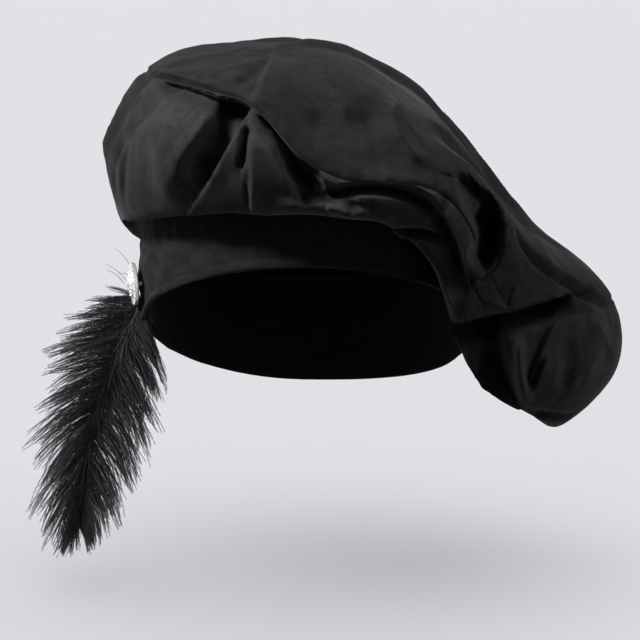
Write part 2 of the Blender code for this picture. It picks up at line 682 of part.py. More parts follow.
def fill_hollows(mesh):
    """Keeps a mesh's outermost body, which fills the small hollows shut in between crossing locks."""
    bm = bmesh.new()
    bm.from_mesh(mesh)
    left = set(bm.verts)
    bodies = []
    while left:
        body = set()
        front = [left.pop()]
        while front:
            vert = front.pop()
            body.add(vert)
            for edge in vert.link_edges:
                other = edge.other_vert(vert)
                if other in left:
                    left.remove(other)
                    front.append(other)
        bodies.append(body)
    bodies.sort(key=len)
    bmesh.ops.delete(bm, geom=[vert for body in bodies[:-1] for vert in body], context="VERTS")
    bm.to_mesh(mesh)
    bm.free()


def brooch_matrix():
    """Placement of the brooch's back: its local Z faces out of the band and its local Y points up."""
    across, back, _ = band_frame()
    out = across * math.cos(BROOCH_TURN) / BAND_HALF_WIDTH + back * math.sin(BROOCH_TURN) / BAND_HALF_DEPTH
    out /= np.linalg.norm(out)
    centre = Vector(band_point(BROOCH_TURN, BROOCH_HEIGHT, 0.0) + out * BROOCH_STANDOFF)
    facing = Vector(out)
    facing.rotate(Matrix.Rotation(BROOCH_FACING, 3, "Z"))
    side = Vector((0, 0, 1)).cross(facing).normalized()
    facing.rotate(Matrix.Rotation(BROOCH_LEAN, 3, side))
    up = facing.cross(side)
    return Matrix.Translation(centre) @ Matrix((side, up, facing)).transposed().to_4x4()


def turned(name, collection, profile, segments, material):
    """A shape turned about the brooch's own axis from a profile of radii and heights."""
    bm = bmesh.new()
    points = [bm.verts.new((radius / 1000, 0, height / 1000)) for radius, height in profile]
    for start, end in zip(points, points[1:]):
        bm.edges.new((start, end))
    mesh = bpy.data.meshes.new(name)
    bm.to_mesh(mesh)
    bm.free()
    item = bpy.data.objects.new(name, mesh)
    item.data.materials.append(material)
    item.matrix_world = brooch_matrix()
    collection.objects.link(item)
    lathe = item.modifiers.new("Turn", "SCREW")
    lathe.axis = "Z"
    lathe.steps = lathe.render_steps = segments
    lathe.use_merge_vertices = True
    lathe.merge_threshold = 0.00001
    lathe.use_smooth_shade = False
    return item


def cut_stone(name, radius):
    """A cut stone about its girdle: a table, a crown of sixteen facets and eight below."""
    bm = bmesh.new()
    rows = []
    for reach, level, twist in (
        (STONE_TABLE, STONE_GIRDLE / 2 + STONE_CROWN, 0.5),
        (1.0, STONE_GIRDLE / 2, 0.0),
        (1.0, -STONE_GIRDLE / 2, 0.0),
    ):
        rows.append([
            bm.verts.new(Vector((
                reach * math.cos(math.pi * (k + twist) / 4),
                reach * math.sin(math.pi * (k + twist) / 4),
                level,
            )) * radius / 1000)
            for k in range(8)
        ])
    culet = bm.verts.new((0, 0, -radius * (STONE_GIRDLE / 2 + STONE_PAVILION) / 1000))
    bm.faces.new(rows[0])
    for i in range(8):
        j = (i + 1) % 8
        bm.faces.new((rows[0][i], rows[0][j], rows[1][j]))
        bm.faces.new((rows[0][i], rows[1][j], rows[1][i]))
        bm.faces.new((rows[2][i], rows[2][j], culet))
    grid_faces(bm, rows[1:])
    bmesh.ops.recalc_face_normals(bm, faces=bm.faces)
    mesh = bpy.data.meshes.new(name)
    bm.to_mesh(mesh)
    bm.free()
    return mesh


def make_stones(collection, material):
    """The centre stone and the rings of stones in their channels."""
    for name, count, ring_radius, height, radius in STONES:
        mesh = cut_stone("stone_" + name, radius)
        mesh.materials.append(material)
        for index in range(count):
            turn = 2 * math.pi * (index + 0.5) / count
            seat = Vector((ring_radius * math.cos(turn), ring_radius * math.sin(turn), height)) / 1000
            label = "stone_" + name + ("" if count == 1 else "_%02d" % (index + 1))
            stone = bpy.data.objects.new(label, mesh)
            stone.matrix_world = brooch_matrix() @ Matrix.Translation(seat) @ Matrix.Rotation(turn, 4, "Z")
            collection.objects.link(stone)


def main():
    for item in list(bpy.data.objects):
        bpy.data.objects.remove(item, do_unlink=True)
    scene = bpy.context.scene
    hat = bpy.data.collections.new("tudor_beret")
    cutters = bpy.data.collections.new("cutters")
    scene.collection.children.link(hat)
    scene.collection.children.link(cutters)
    band_cloth = new_material("band_velvet", (0.012, 0.012, 0.013), 0.85)
    under_cloth = new_material("underside_velvet", (0.012, 0.012, 0.013), 0.85)
    top_cloth = new_material("top_velvet", (0.012, 0.012, 0.013), 0.85)
    feather = new_material("plume_barbs", (0.012, 0.012, 0.014), 0.6)
    metal = new_material("setting_metal", (0.86, 0.86, 0.87), 0.18, metallic=1.0)
    steel = new_material("pin_metal", (0.6, 0.6, 0.62), 0.3, metallic=1.0)
    crystal = new_material("cut_crystal", (0.95, 0.96, 0.98), 0.02, transmission=1.0)
    make_band(hat, band_cloth, cutters)
    make_underside(hat, under_cloth)
    make_top(hat, top_cloth)
    make_plume(hat, feather, cutters)
    turned("brooch_setting", hat, SETTING_PROFILE, SETTING_SEGMENTS, metal)
    make_stones(hat, crystal)
    turned("brooch_post", hat, PIN_PROFILE, PIN_SEGMENTS, steel)


main()
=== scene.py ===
"""Looks of the soft velvet beret with its plume and brooch, in metres, +Z up, as worn."""

import json
import math

import bmesh
import bpy
import numpy as np
from mathutils import Matrix, Vector

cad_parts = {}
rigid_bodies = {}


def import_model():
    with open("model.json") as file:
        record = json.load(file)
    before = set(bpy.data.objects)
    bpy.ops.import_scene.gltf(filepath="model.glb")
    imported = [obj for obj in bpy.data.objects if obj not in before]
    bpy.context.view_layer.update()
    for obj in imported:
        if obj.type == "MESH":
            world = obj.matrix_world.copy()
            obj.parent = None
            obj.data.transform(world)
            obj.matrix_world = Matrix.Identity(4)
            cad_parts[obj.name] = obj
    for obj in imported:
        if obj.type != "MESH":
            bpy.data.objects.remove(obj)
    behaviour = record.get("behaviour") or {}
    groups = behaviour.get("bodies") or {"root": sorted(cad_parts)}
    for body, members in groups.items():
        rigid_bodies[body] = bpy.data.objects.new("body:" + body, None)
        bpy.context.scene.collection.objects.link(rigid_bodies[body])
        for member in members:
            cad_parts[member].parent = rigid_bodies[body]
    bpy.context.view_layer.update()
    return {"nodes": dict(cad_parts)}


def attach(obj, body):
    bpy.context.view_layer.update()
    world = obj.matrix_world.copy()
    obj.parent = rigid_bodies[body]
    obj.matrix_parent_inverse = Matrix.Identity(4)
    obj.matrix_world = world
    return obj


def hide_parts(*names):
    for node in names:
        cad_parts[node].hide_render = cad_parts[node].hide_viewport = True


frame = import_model()
scene = bpy.context.scene


# ---- the hat's form: metres, and degrees round the crown's axis, anticlockwise from +X ----

BAND_HALF_WIDTH = 0.092
BAND_HALF_DEPTH = 0.098
BAND_HEIGHT = 0.055
BAND_WALL = 0.003
BAND_TILT = math.radians(27)
CLOTH = 0.0018
SEAM_GAP = 0.0003
CROWN_AXIS_Y = 0.020
CROWN_TOP = 0.154
HOOK_OUT = 0.0075
HOOK_UP = 0.0085
CROWDED_AZIMUTH = -62.0
FRONT_CROWDING = 0.45
SECTIONS = (
    # azimuth, low_out, low_up, side_out, side_up, seam_out, seam_up,
    #          shoulder_out, shoulder_up, top_out, top_up
    (0, 0.142, -0.064, 0.177, -0.029, 0.175, 0.010, 0.116, 0.061, 0.060, 0.128),
    (20, 0.141, -0.057, 0.170, -0.027, 0.167, 0.004, 0.119, 0.062, 0.064, 0.125),
    (45, 0.138, -0.040, 0.165, -0.017, 0.161, 0.013, 0.128, 0.075, 0.072, 0.129),
    (70, 0.132, -0.025, 0.160, 0.000, 0.158, 0.034, 0.128, 0.093, 0.075, 0.137),
    (90, 0.128, -0.014, 0.150, 0.012, 0.148, 0.046, 0.120, 0.104, 0.074, 0.142),
    (120, 0.120, 0.004, 0.138, 0.032, 0.132, 0.068, 0.106, 0.117, 0.066, 0.146),
    (150, 0.112, 0.036, 0.121, 0.066, 0.111, 0.103, 0.084, 0.134, 0.050, 0.151),
    (180, 0.102, 0.053, 0.1095, 0.088, 0.089, 0.137, 0.072, 0.149, 0.038, 0.154),
    (205, 0.104, 0.059, 0.115, 0.094, 0.091, 0.139, 0.072, 0.149, 0.038, 0.154),
    (225, 0.108, 0.066, 0.121, 0.099, 0.094, 0.138, 0.070, 0.148, 0.037, 0.154),
    (250, 0.118, 0.073, 0.134, 0.104, 0.112, 0.135, 0.078, 0.148, 0.040, 0.154),
    (260, 0.119, 0.073, 0.137, 0.100, 0.126, 0.127, 0.088, 0.144, 0.045, 0.153),
    (270, 0.119, 0.073, 0.138, 0.091, 0.134, 0.105, 0.098, 0.139, 0.050, 0.153),
    (280, 0.119, 0.071, 0.136, 0.082, 0.135, 0.093, 0.103, 0.134, 0.054, 0.152),
    (292, 0.118, 0.066, 0.136, 0.078, 0.135, 0.091, 0.107, 0.128, 0.058, 0.149),
    (305, 0.120, 0.043, 0.134, 0.057, 0.138, 0.077, 0.116, 0.109, 0.062, 0.144),
    (320, 0.120, -0.018, 0.140, 0.000, 0.142, 0.021, 0.128, 0.076, 0.066, 0.135),
    (340, 0.138, -0.051, 0.160, -0.026, 0.160, 0.010, 0.122, 0.061, 0.063, 0.128),
)
# Stations run along the section: 0 at the band, 4 at the rim seam, 7 at the crown's top.
STATIONS = 7
SEAM_STATION = 4
BEND_LIMIT = 1.7
VIEW_DISTANCE = 1.6
VIEWS = {
    # name: azimuth of the eye, its elevation, in degrees
    "front": (-90, 10),
    "left": (0, 15),
    "right": (180, 15),
    "back": (90, 15),
    "above": (-90, 80),
}
# A fold follows a path through three points as one view sees them (mm). It stands out by its height, or
# goes in where that is below 0, and fades out over its reach on the path's left and right (mm).
# round: 0 is a sharp crest, 1 and more a flat bottom, and below 0 has flat sides.
# piece: 0 is both, 1 the underside, 2 the top.
FOLDS = (
    # view, x0, up0, x1, up1, x2, up2, height, left, right, round, piece
    ("front", -87, 141, -59, 132, -32, 121, 3.0, 16, 2.0, 0.3, 2),
    ("front", -82, 137, -57, 128, -33, 118, -8.0, 2, 14, 1.0, 1),
    ("front", -18, 152, -26, 137, -32, 123, -4.0, 4.0, 13, 0.5, 2),
    ("front", -16, 152, -23, 134, -28, 120, 1.8, 22, 4.0, 0.6, 2),
    ("front", -20, 139, -40, 105, -60, 70, -22, 1.2, 19, 1.15, 1),
    ("front", -31, 122, -45, 97, -59, 72, 3.0, 12, 2.0, 0.3, 1),
    ("front", -87, 117, -77, 96, -72, 68, 6.0, 18, 16, 1.0, 1),
    ("front", -31, 105, -31, 83, -30, 60, 8.0, 28, 1.4, 0.1, 1),
    ("front", -31, 109, -33, 98, -35, 83, -7, 1.4, 5, 0.8, 1),
    ("front", -31, 97, -31, 79, -30, 61, -2.5, 1.2, 3.5, 0.5, 1),
    ("front", -20, 125, -2, 98, 11, 66, -25, 4, 17, 1.35, 1),
    ("front", -10, 92, 5, 79, 26, 68, -15, 4, 9, 1.3, 1),
    ("front", -26, 116, -14, 98, -4, 71, 3.0, 2.0, 9, 0.3, 1),
    ("front", 1, 69, 45, 75, 76, 60, -14, 3, 6.5, 1.2, 0),
    ("front", 72, 64, 83, 48, 89, 25, -16, 1.6, 8.5, 1.2, 0),
    ("front", -24, 63, 8, 60, 50, 54, 4.0, 9, 8, 1.0, 1),
    ("front", 20, 66, 25, 62, 26, 58, -1.5, 6, 6, 0.9, 1),
    ("front", 34, 67, 38, 62, 44, 57, -1.5, 6, 6, 0.9, 1),
    ("front", 34, 77, 60, 76, 77, 62, 8.0, 14, 1.4, 0.5, 0),
    ("front", 74, 64, 85, 48, 91, 24, 8.0, 13, 1.4, 0.5, 0),
    ("front", 101, 72, 110, 48, 98, 24, -30, 2.5, 17, 1.4, 0),
    ("front", 84, 81, 95, 76, 102, 66, -8, 3, 12, -0.8, 0),
    ("front", 108, 78, 116, 55, 100, 25, 4.0, 20, 2.5, 0.5, 0),
    ("front", 108, 74, 129, 48, 146, 16, 5.0, 14, 10, 0.15, 0),
    ("front", 150, 16, 120, 7, 81, -1, 7.0, 1.8, 20, 0.2, 0),
    ("front", 150, 15, 120, 6, 79, -3, -22, 14, 1.4, 1.3, 0),
    ("front", 112, 7, 109, -16, 117, -50, -24, 5, 17, 1.3, 0),
    ("front", 86, -6, 95, -9, 102, -13, 2.5, 1.2, 6, 0.2, 0),
    ("front", 119, -7, 119, -26, 124, -49, 8.0, 7, 3, 0.5, 0),
    ("front", 92, 26, 98, 13, 106, -1, -2.5, 1.6, 1.6, 0.5, 0),
    ("front", 147, 15, 134, -12, 125, -39, 4.0, 18, 1.5, 0.2, 0),
    ("front", 146, 13, 133, -13, 124, -38, -6, 1.5, 9, -0.6, 0),
    ("front", 133, -21, 130, -29, 127, -38, -7, 2.0, 4.5, 1.0, 0),
    ("front", 127, -50, 141, -52, 156, -52, -5.0, 1.2, 5, 1.0, 0),
    ("front", 54, 45, 71, 23, 85, 1, 7.5, 11, 2.5, 0.5, 1),
    ("front", 45, 49, 63, 52, 77, 48, -12, 1.5, 5.5, 1.2, 1),
    ("front", -87, 142, -56, 148, -21, 155, 2.0, 4, 5, 0.3, 2),
    ("front", -83, 139, -52, 140, -21, 148, 2.0, 3, 5, 0.3, 2),
    ("front", -59, 130, -39, 132, -24, 143, -2.0, 5, 5, 0.6, 2),
    ("front", 49, 128, 53, 105, 70, 85, 6.0, 6, 16, -0.6, 2),
    ("front", 3, 124, 23, 106, 49, 126, -4, 16, 14, 1.0, 2),
    ("front", -3, 148, 3, 124, 14, 96, -2.0, 16, 16, 1.0, 2),
    ("front", 14, 146, 22, 118, 29, 90, 2.0, 18, 16, 1.0, 2),
    ("front", -101, 115, -106, 90, -105, 68, -4.0, 3, 3, 0.5, 1),
    ("front", -96, 116, -100, 87, -100, 66, -3.0, 3, 4, 0.5, 1),
    ("front", 146, -8, 147, -23, 143, -41, -3.0, 6, 6, 1.0, 0),
    ("front", 161, 3, 169, -11, 175, -25, 2.0, 6, 6, 0.3, 0),
    ("front", 165, 12, 163, -11, 154, -36, 2.0, 9, 9, 1.0, 0),
    ("back", 80, 128, 20, 96, -60, 40, -7, 12, 12, 0.8, 0),
    ("back", 40, 140, -40, 108, -120, 30, 5, 12, 14, 0.6, 0),
    ("back", 96, 100, 70, 60, 10, 20, -6, 10, 10, 0.8, 0),
    ("back", 60, 52, 0, 30, -70, 0, 5, 10, 12, 0.8, 0),
    ("back", -60, 70, -110, 30, -150, -20, -6, 10, 12, 0.7, 2),
    ("back", -40, -4, -90, -20, -130, -44, -3.5, 9, 9, 0.8, 1),
    ("left", -70, 100, -20, 60, 10, 10, -5, 14, 14, 0.9, 2),
    ("left", 60, 110, 50, 60, 20, 10, 5, 14, 14, 0.8, 2),
    ("left", 100, 60, 70, 20, 30, -30, -6, 11, 11, 0.8, 0),
    ("left", -50, 30, -40, 0, -10, -36, -6, 8, 9, 0.7, 0),
    ("left", 20, 0, 30, -20, 22, -44, -4, 7, 7, 0.8, 1),
    ("right", -50, 130, -20, 95, -24, 62, -5, 9, 10, 0.8, 1),
    ("right", 10, 128, 16, 96, 6, 62, 5, 8, 12, 0.6, 1),
    ("right", 50, 112, 40, 84, 18, 58, -3.0, 10, 10, 0.7, 1),
    ("above", -40, 60, 10, 90, 90, 100, -4, 14, 14, 0.9, 2),
    ("above", -20, 10, 40, 40, 120, 50, 4, 16, 16, 0.9, 2),
    ("above", -60, 100, -30, 130, 30, 140, 4, 12, 12, 0.8, 2),
)
PATH_POINTS = 25
END_FADE = 0.22
END_LEFT = 0.15
FACING_FROM = 0.02
FACING_SPAN = 0.3
LEAST_FACING = 0.55
BAND_FADE = 0.9
SEAM_FADES = {
    # piece: how far from the seam its folds begin, and over how far they grow, in stations
    1: (0.005, 0.07),
    2: (0.01, 0.10),
}
PLUME = (
    # x, y, z, radius, left_reach, left_drop, right_reach, right_drop (mm and degrees)
    (-92.9, 4, 14, 0.5, 19, -2, 4, 60),
    (-94.4, 2, 5.5, 0.7, 32, -2, 24, 54),
    (-98.2, -1, -4, 0.8, 41, 4, 37, 56),
    (-102.5, -3, -14, 0.8, 47, 12, 42, 57),
    (-107.5, -4, -29, 0.8, 51, 19, 46, 58),
    (-113.5, -5, -45, 0.7, 53, 32, 48, 61),
    (-119, -6, -62, 0.6, 54, 46, 48, 63),
    (-123.5, -7, -84, 0.5, 48, 55, 40, 65),
    (-126, -7, -104, 0.45, 36, 62, 29, 68),
    (-127.5, -7, -116, 0.4, 19, 70, 17, 74),
)
BROOCH_TURN = math.radians(187)
BROOCH_HEIGHT = 0.018
BROOCH_LEAN = math.radians(6)
BROOCH_FACING = math.radians(5)
BROOCH_STANDOFF = 0.0029
CLAW = 0.00040
STONES = (
    # name, count, ring_radius, girdle_height, girdle_radius (mm)
    ("centre", 1, 0.0, 4.1, 2.75),
    ("inner", 8, 5.2, 3.3, 1.5),
    ("outer", 14, 9.6, 2.0, 1.85),
)
# The band's lower edge spreads and sags by the tail, and hangs lower at the back.
BAND_SAG_TURN = 40
BAND_SAG_SPREAD = 32
BAND_SAG_OUT = 0.010
BAND_SAG_DOWN = 0.006
BAND_REAR_DROP = 0.006


def periodic(azimuth, knots, values):
    """Values at an azimuth in degrees, on a smooth closed curve through the knots."""
    knots = np.asarray(knots, float)
    values = np.asarray(values, float)
    turn = 360.0
    at = np.concatenate([knots[-2:] - turn, knots, knots[:2] + turn])
    table = np.concatenate([values[-2:], values, values[:2]])
    slope = (table[2:] - table[:-2]) / (at[2:] - at[:-2])[:, None]
    azimuth = np.mod(azimuth, turn)
    cell = np.clip(np.searchsorted(at, azimuth, side="right") - 1, 1, len(at) - 3)
    span = (at[cell + 1] - at[cell])[..., None]
    t = (azimuth - at[cell])[..., None] / span
    start, end = table[cell], table[cell + 1]
    pull, push = slope[cell - 1] * span, slope[cell] * span
    return (
        start * (1 + 2 * t) * (1 - t) ** 2
        + pull * t * (1 - t) ** 2
        + end * t * t * (3 - 2 * t)
        - push * t * t * (1 - t)
    )


def band_frame():
    """Axes of the tilted band: across, towards its back, and up its wall."""
    return (
        np.array([1.0, 0.0, 0.0]),
        np.array([0.0, math.cos(BAND_TILT), -math.sin(BAND_TILT)]),
        np.array([0.0, math.sin(BAND_TILT), math.cos(BAND_TILT)]),
    )


def band_point(turn, height, inset):
    """A point on the band's oval: turn in radians, height up its wall, inset from its outer face."""
    across, back, up = band_frame()
    turn = np.asarray(turn, float)[..., None]
    return (
        across * (BAND_HALF_WIDTH - inset) * np.cos(turn)
        + back * (BAND_HALF_DEPTH - inset) * np.sin(turn)
        + up * height
    )


def band_turn(azimuth):
    """The oval's own angle whose top edge lies at this azimuth about the crown's axis."""
    turn = np.radians(azimuth)
    for _ in range(12):
        point = band_point(turn, BAND_HEIGHT, 0)
        seen = np.arctan2(point[..., 1] - CROWN_AXIS_Y, point[..., 0])
        miss = np.mod(np.radians(azimuth) - seen + math.pi, 2 * math.pi) - math.pi
        turn = turn + miss
    return turn


def section_controls(azimuth):
    """The control points of the crown's section at each azimuth, as (..., station, xyz)."""
    table = np.array(SECTIONS)
    sizes = periodic(azimuth, table[:, 0], table[:, 1:])
    angle = np.radians(azimuth)[..., None]
    outward = np.concatenate([np.cos(angle), np.sin(angle), np.zeros_like(angle)], -1)
    axis = np.array([0.0, CROWN_AXIS_Y, 0.0])
    up = np.array([0.0, 0.0, 1.0])
    turn = band_turn(azimuth)
    edge = band_point(turn, BAND_HEIGHT + SEAM_GAP, BAND_WALL / 2)
    hook = band_point(turn, BAND_HEIGHT + HOOK_UP, -HOOK_OUT)
    points = [edge, hook]
    for column in range(0, sizes.shape[-1], 2):
        out, height = sizes[..., column, None], sizes[..., column + 1, None]
        points.append(axis + outward * out + up * height)
    points.append(np.broadcast_to(axis + up * CROWN_TOP, edge.shape))
    far = sizes[..., -2, None], sizes[..., -1, None]
    points.append(axis - outward * far[0] + up * far[1])
    below = band_point(turn, BAND_HEIGHT - HOOK_UP, BAND_WALL / 2)
    return np.stack([below, *points], -2)


def crown_base(azimuth, station):
    """The crown's face without folds."""
    controls = section_controls(azimuth)
    step = np.linalg.norm(np.diff(controls, axis=-2), axis=-1) ** 0.7
    chord = np.diff(controls, axis=-2) / step[..., None]
    before, after = step[..., :-1, None], step[..., 1:, None]
    tangent = (chord[..., :-1, :] * after + chord[..., 1:, :] * before) / (before + after)
    length = np.linalg.norm(np.diff(controls, axis=-2), axis=-1, keepdims=True)
    longest = BEND_LIMIT * np.minimum(length[..., :-1, :], length[..., 1:, :])
    cell = np.clip(np.floor(station).astype(int), 0, STATIONS - 1)
    t = (station - cell)[..., None]
    pick = cell[..., None, None]
    start = np.take_along_axis(controls, pick + 1, -2)[..., 0, :]
    end = np.take_along_axis(controls, pick + 2, -2)[..., 0, :]
    span = np.take_along_axis(step, pick[..., 0] + 1, -1)
    leave = np.take_along_axis(tangent, pick, -2)[..., 0, :] * span
    arrive = np.take_along_axis(tangent, pick + 1, -2)[..., 0, :] * span
    for pull, at in ((leave, pick), (arrive, pick + 1)):
        most = np.take_along_axis(longest, at, -2)[..., 0, :]
        pull *= np.minimum(1.0, most / np.maximum(np.linalg.norm(pull, axis=-1, keepdims=True), 1e-9))
    return (
        start * (1 + 2 * t) * (1 - t) ** 2
        + leave * t * (1 - t) ** 2
        + end * t * t * (3 - 2 * t)
        - arrive * t * t * (1 - t)
    )


def crown_normal(azimuth, station):
    """The unfolded crown's outward unit normal."""
    azimuth, station = np.broadcast_arrays(np.asarray(azimuth, float), np.asarray(station, float))
    reach = np.clip(station, 0.02, STATIONS - 0.02)
    along = crown_base(azimuth, reach + 0.01) - crown_base(azimuth, reach - 0.01)
    around = crown_base(azimuth + 0.5, reach) - crown_base(azimuth - 0.5, reach)
    normal = np.cross(around, along)
    return normal / np.maximum(np.linalg.norm(normal, axis=-1, keepdims=True), 1e-12)


def view_axes(view):
    """A view's directions: to its right, up, and towards the eye."""
    azimuth, elevation = (math.radians(value) for value in VIEWS[view])
    eye = np.array([
        math.cos(azimuth) * math.cos(elevation),
        math.sin(azimuth) * math.cos(elevation),
        math.sin(elevation),
    ])
    right = np.array([-math.sin(azimuth), math.cos(azimuth), 0.0])
    return right, np.cross(eye, right), eye


def smooth(value):
    """A soft step from 0 to 1."""
    value = np.clip(value, 0, 1)
    return value * value * (3 - 2 * value)


def fold_shift(points, normals, station, folds):
    """How far the folds move each point, in metres: towards the eye in front, else along its normal."""
    shift = np.zeros(points.shape)
    for view in VIEWS:
        total = np.zeros(points.shape[:-1])
        right, up, eye = view_axes(view)
        scale = VIEW_DISTANCE / (VIEW_DISTANCE - points @ eye) * 1000
        across, above = points @ right * scale, points @ up * scale
        facing = smooth((normals @ eye - FACING_FROM) / FACING_SPAN)
        for row in folds:
            if row[0] != view:
                continue
            x0, up0, x1, up1, x2, up2, height, left, side, crest, piece = row[1:]
            t = np.linspace(0, 1, PATH_POINTS)
            middle_x, middle_up = 2 * x1 - (x0 + x2) / 2, 2 * up1 - (up0 + up2) / 2
            path_x = (1 - t) ** 2 * x0 + 2 * t * (1 - t) * middle_x + t * t * x2
            path_up = (1 - t) ** 2 * up0 + 2 * t * (1 - t) * middle_up + t * t * up2
            reach = max(left, side)
            near = (
                (facing > 0)
                & (across > path_x.min() - reach) & (across < path_x.max() + reach)
                & (above > path_up.min() - reach) & (above < path_up.max() + reach)
            )
            if not near.any():
                continue
            dx = across[near][:, None] - path_x[None, :-1]
            du = above[near][:, None] - path_up[None, :-1]
            step_x, step_up = np.diff(path_x), np.diff(path_up)
            length = np.hypot(step_x, step_up)
            run = np.clip((dx * step_x + du * step_up) / length**2, 0, 1)
            gap = np.hypot(dx - run * step_x, du - run * step_up)
            nearest = gap.argmin(1)
            pick = np.arange(len(nearest))
            distance = gap[pick, nearest]
            cross = (step_x * du - step_up * dx)[pick, nearest]
            place = (nearest + run[pick, nearest]) / len(length)
            share = np.clip(distance / np.where(cross > 0, left, side), 0, 1)
            bowl = (1 - share ** (2 * max(crest, 1.0))) ** 2
            if crest < 0:
                crested = (1 - share) ** (2 + crest)
            else:
                crested = bowl if crest >= 1 else crest * bowl + (1 - crest) * (1 - share) ** 2
            ends = smooth(place / END_FADE) * smooth((1 - place) / END_FADE)
            ends = END_LEFT + (1 - END_LEFT) * ends
            own = 1.0
            if piece:
                inside = (station[near] - SEAM_STATION) * (1 if piece == 2 else -1)
                begin, growth = SEAM_FADES[piece]
                own = smooth((inside - begin) / growth)
            total[near] += height / 1000 * crested * ends * own * facing[near]
        way = eye / np.clip(normals @ eye, LEAST_FACING, 1.0)[..., None] if view == "front" else normals
        shift += total[..., None] * way
    return shift * smooth(station / BAND_FADE)[..., None]


def column_azimuth(share):
    """The azimuth of a column, at a share of the way round, closer set where the folds are."""
    turn = share * 360.0
    return CROWDED_AZIMUTH + turn - math.degrees(FRONT_CROWDING) * np.sin(np.radians(turn))


def band_wall(turn, down, bulge):
    """A point of the band's wall, by its turn, how far down it lies and how far out of the oval."""
    across, _, up = band_frame()
    lower = down * np.exp(-((math.degrees(turn) - BAND_SAG_TURN) / BAND_SAG_SPREAD) ** 2)
    rear = down * max(0.0, math.sin(turn)) ** 2
    point = band_point(turn, BAND_HEIGHT * (1 - down), -bulge)
    return point + across * BAND_SAG_OUT * lower - up * (BAND_SAG_DOWN * lower + BAND_REAR_DROP * rear)


def plume_row(share):
    """The plume's row at a share of its length, interpolated."""
    table = np.array(PLUME)
    at = share * (len(table) - 1)
    cell = min(int(at), len(table) - 2)
    t = at - cell
    before = table[max(cell - 1, 0)]
    after = table[min(cell + 2, len(table) - 1)]
    start, end = table[cell], table[cell + 1]
    pull, push = (end - before) / 2, (after - start) / 2
    return (
        start * (1 + 2 * t) * (1 - t) ** 2 + pull * t * (1 - t) ** 2
        + end * t * t * (3 - 2 * t) - push * t * t * (1 - t)
    )


def brooch_matrix():
    """Placement of the brooch's back: its local Z faces out of the band and its local Y points up."""
    across, back, _ = band_frame()
    out = across * math.cos(BROOCH_TURN) / BAND_HALF_WIDTH
    out += back * math.sin(BROOCH_TURN) / BAND_HALF_DEPTH
    out /= np.linalg.norm(out)
    centre = Vector(band_point(BROOCH_TURN, BROOCH_HEIGHT, 0.0) + out * BROOCH_STANDOFF)
    facing = Vector(out)
    facing.rotate(Matrix.Rotation(BROOCH_FACING, 3, "Z"))
    side = Vector((0, 0, 1)).cross(facing).normalized()
    facing.rotate(Matrix.Rotation(BROOCH_LEAN, 3, side))
    up = facing.cross(side)
    return Matrix.Translation(centre) @ Matrix((side, up, facing)).transposed().to_4x4()


# ---- cloth surface ----

# How finely the cloth is meshed, and how much closer its rows lie to the rim seam.
TOP_NET = 210
TOP_SPREAD = 1.25
RING_COLUMNS = 560
RING_ROWS = 78
RING_SPREAD = 1.25
BAND_TURNS = 300
BAND_ROWS = 60
# The rim seam's groove and the puckers beside it, which end where the tail hangs in front.
GROOVE_DEPTH = 0.0017
GROOVE_WIDTH = 0.0013
PUCKER = 0.0004
PUCKER_SIZE = 0.009
PUCKER_REACH = 0.006
PUCKER_GAP = 0.002
TAIL_START = 0.085
TAIL_FRONT = 0.03
TAIL_FADE = 0.03
# Unevenness of worn cloth.
CROWN_UNEVEN = (
    # height, size (m), seed
    (0.0004, 0.055, 3),
    (0.00008, 0.014, 5),
)
BAND_UNEVEN = (
    (0.0005, 0.030, 21),
    (0.00025, 0.011, 22),
)
BAND_INSIDE_UNEVEN = 0.3


def wander(points, size, seed, waves=16):
    """Smooth, repeatable noise of unit spread over points, with waves of about this size."""
    rng = np.random.default_rng(seed)
    way = rng.normal(size=(waves, 3))
    way /= np.linalg.norm(way, axis=1, keepdims=True)
    pitch = 2 * math.pi / size * rng.uniform(0.6, 1.5, waves)
    phase = rng.uniform(0, 2 * math.pi, waves)
    return np.sin(points @ (way * pitch[:, None]).T + phase).sum(-1) / math.sqrt(waves / 2)


def unevenness(points, table):
    """Rises and dips over points, from rows of height, size and seed."""
    return sum(height * wander(points, size, seed) for height, size, seed in table)


def seam_distance(azimuth, station):
    """Distance along the cloth to the rim seam."""
    near = crown_base(azimuth, np.full(azimuth.shape, SEAM_STATION + 0.02))
    far = crown_base(azimuth, np.full(azimuth.shape, SEAM_STATION - 0.02))
    return np.abs(station - SEAM_STATION) * np.linalg.norm(near - far, axis=-1) / 0.04


def cloth_point(azimuth, station):
    """A point of the crown's face with its folds, its sewn rim and the unevenness of worn velvet."""
    base = crown_base(azimuth, station)
    normal = crown_normal(azimuth, station)
    base = base + fold_shift(base, normal, station, FOLDS)
    away = seam_distance(azimuth, station)
    rim = crown_base(azimuth, np.full(azimuth.shape, float(SEAM_STATION)))
    height = unevenness(base, CROWN_UNEVEN)
    tail = smooth((rim[..., 0] - TAIL_START) / TAIL_FADE) * smooth((TAIL_FRONT - rim[..., 1]) / TAIL_FADE)
    sewn = 1 - tail
    height -= sewn * GROOVE_DEPTH * np.exp(-((away / GROOVE_WIDTH) ** 2))
    pucker = PUCKER * wander(rim, PUCKER_SIZE, 8) * np.exp(-away / PUCKER_REACH)
    height += sewn * pucker * smooth(away / PUCKER_GAP)
    return base + normal * height[..., None]


def new_piece(name, points, faces, material, replaced=()):
    """A mesh that rides with the hat and stands for some of its solids."""
    mesh = bpy.data.meshes.new(name)
    mesh.from_pydata(points, [], faces)
    mesh.update()
    mesh.polygons.foreach_set("use_smooth", [True] * len(mesh.polygons))
    mesh.materials.append(material)
    item = bpy.data.objects.new(name, mesh)
    scene.collection.objects.link(item)
    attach(item, "root")
    if replaced:
        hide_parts(*replaced)
    return item


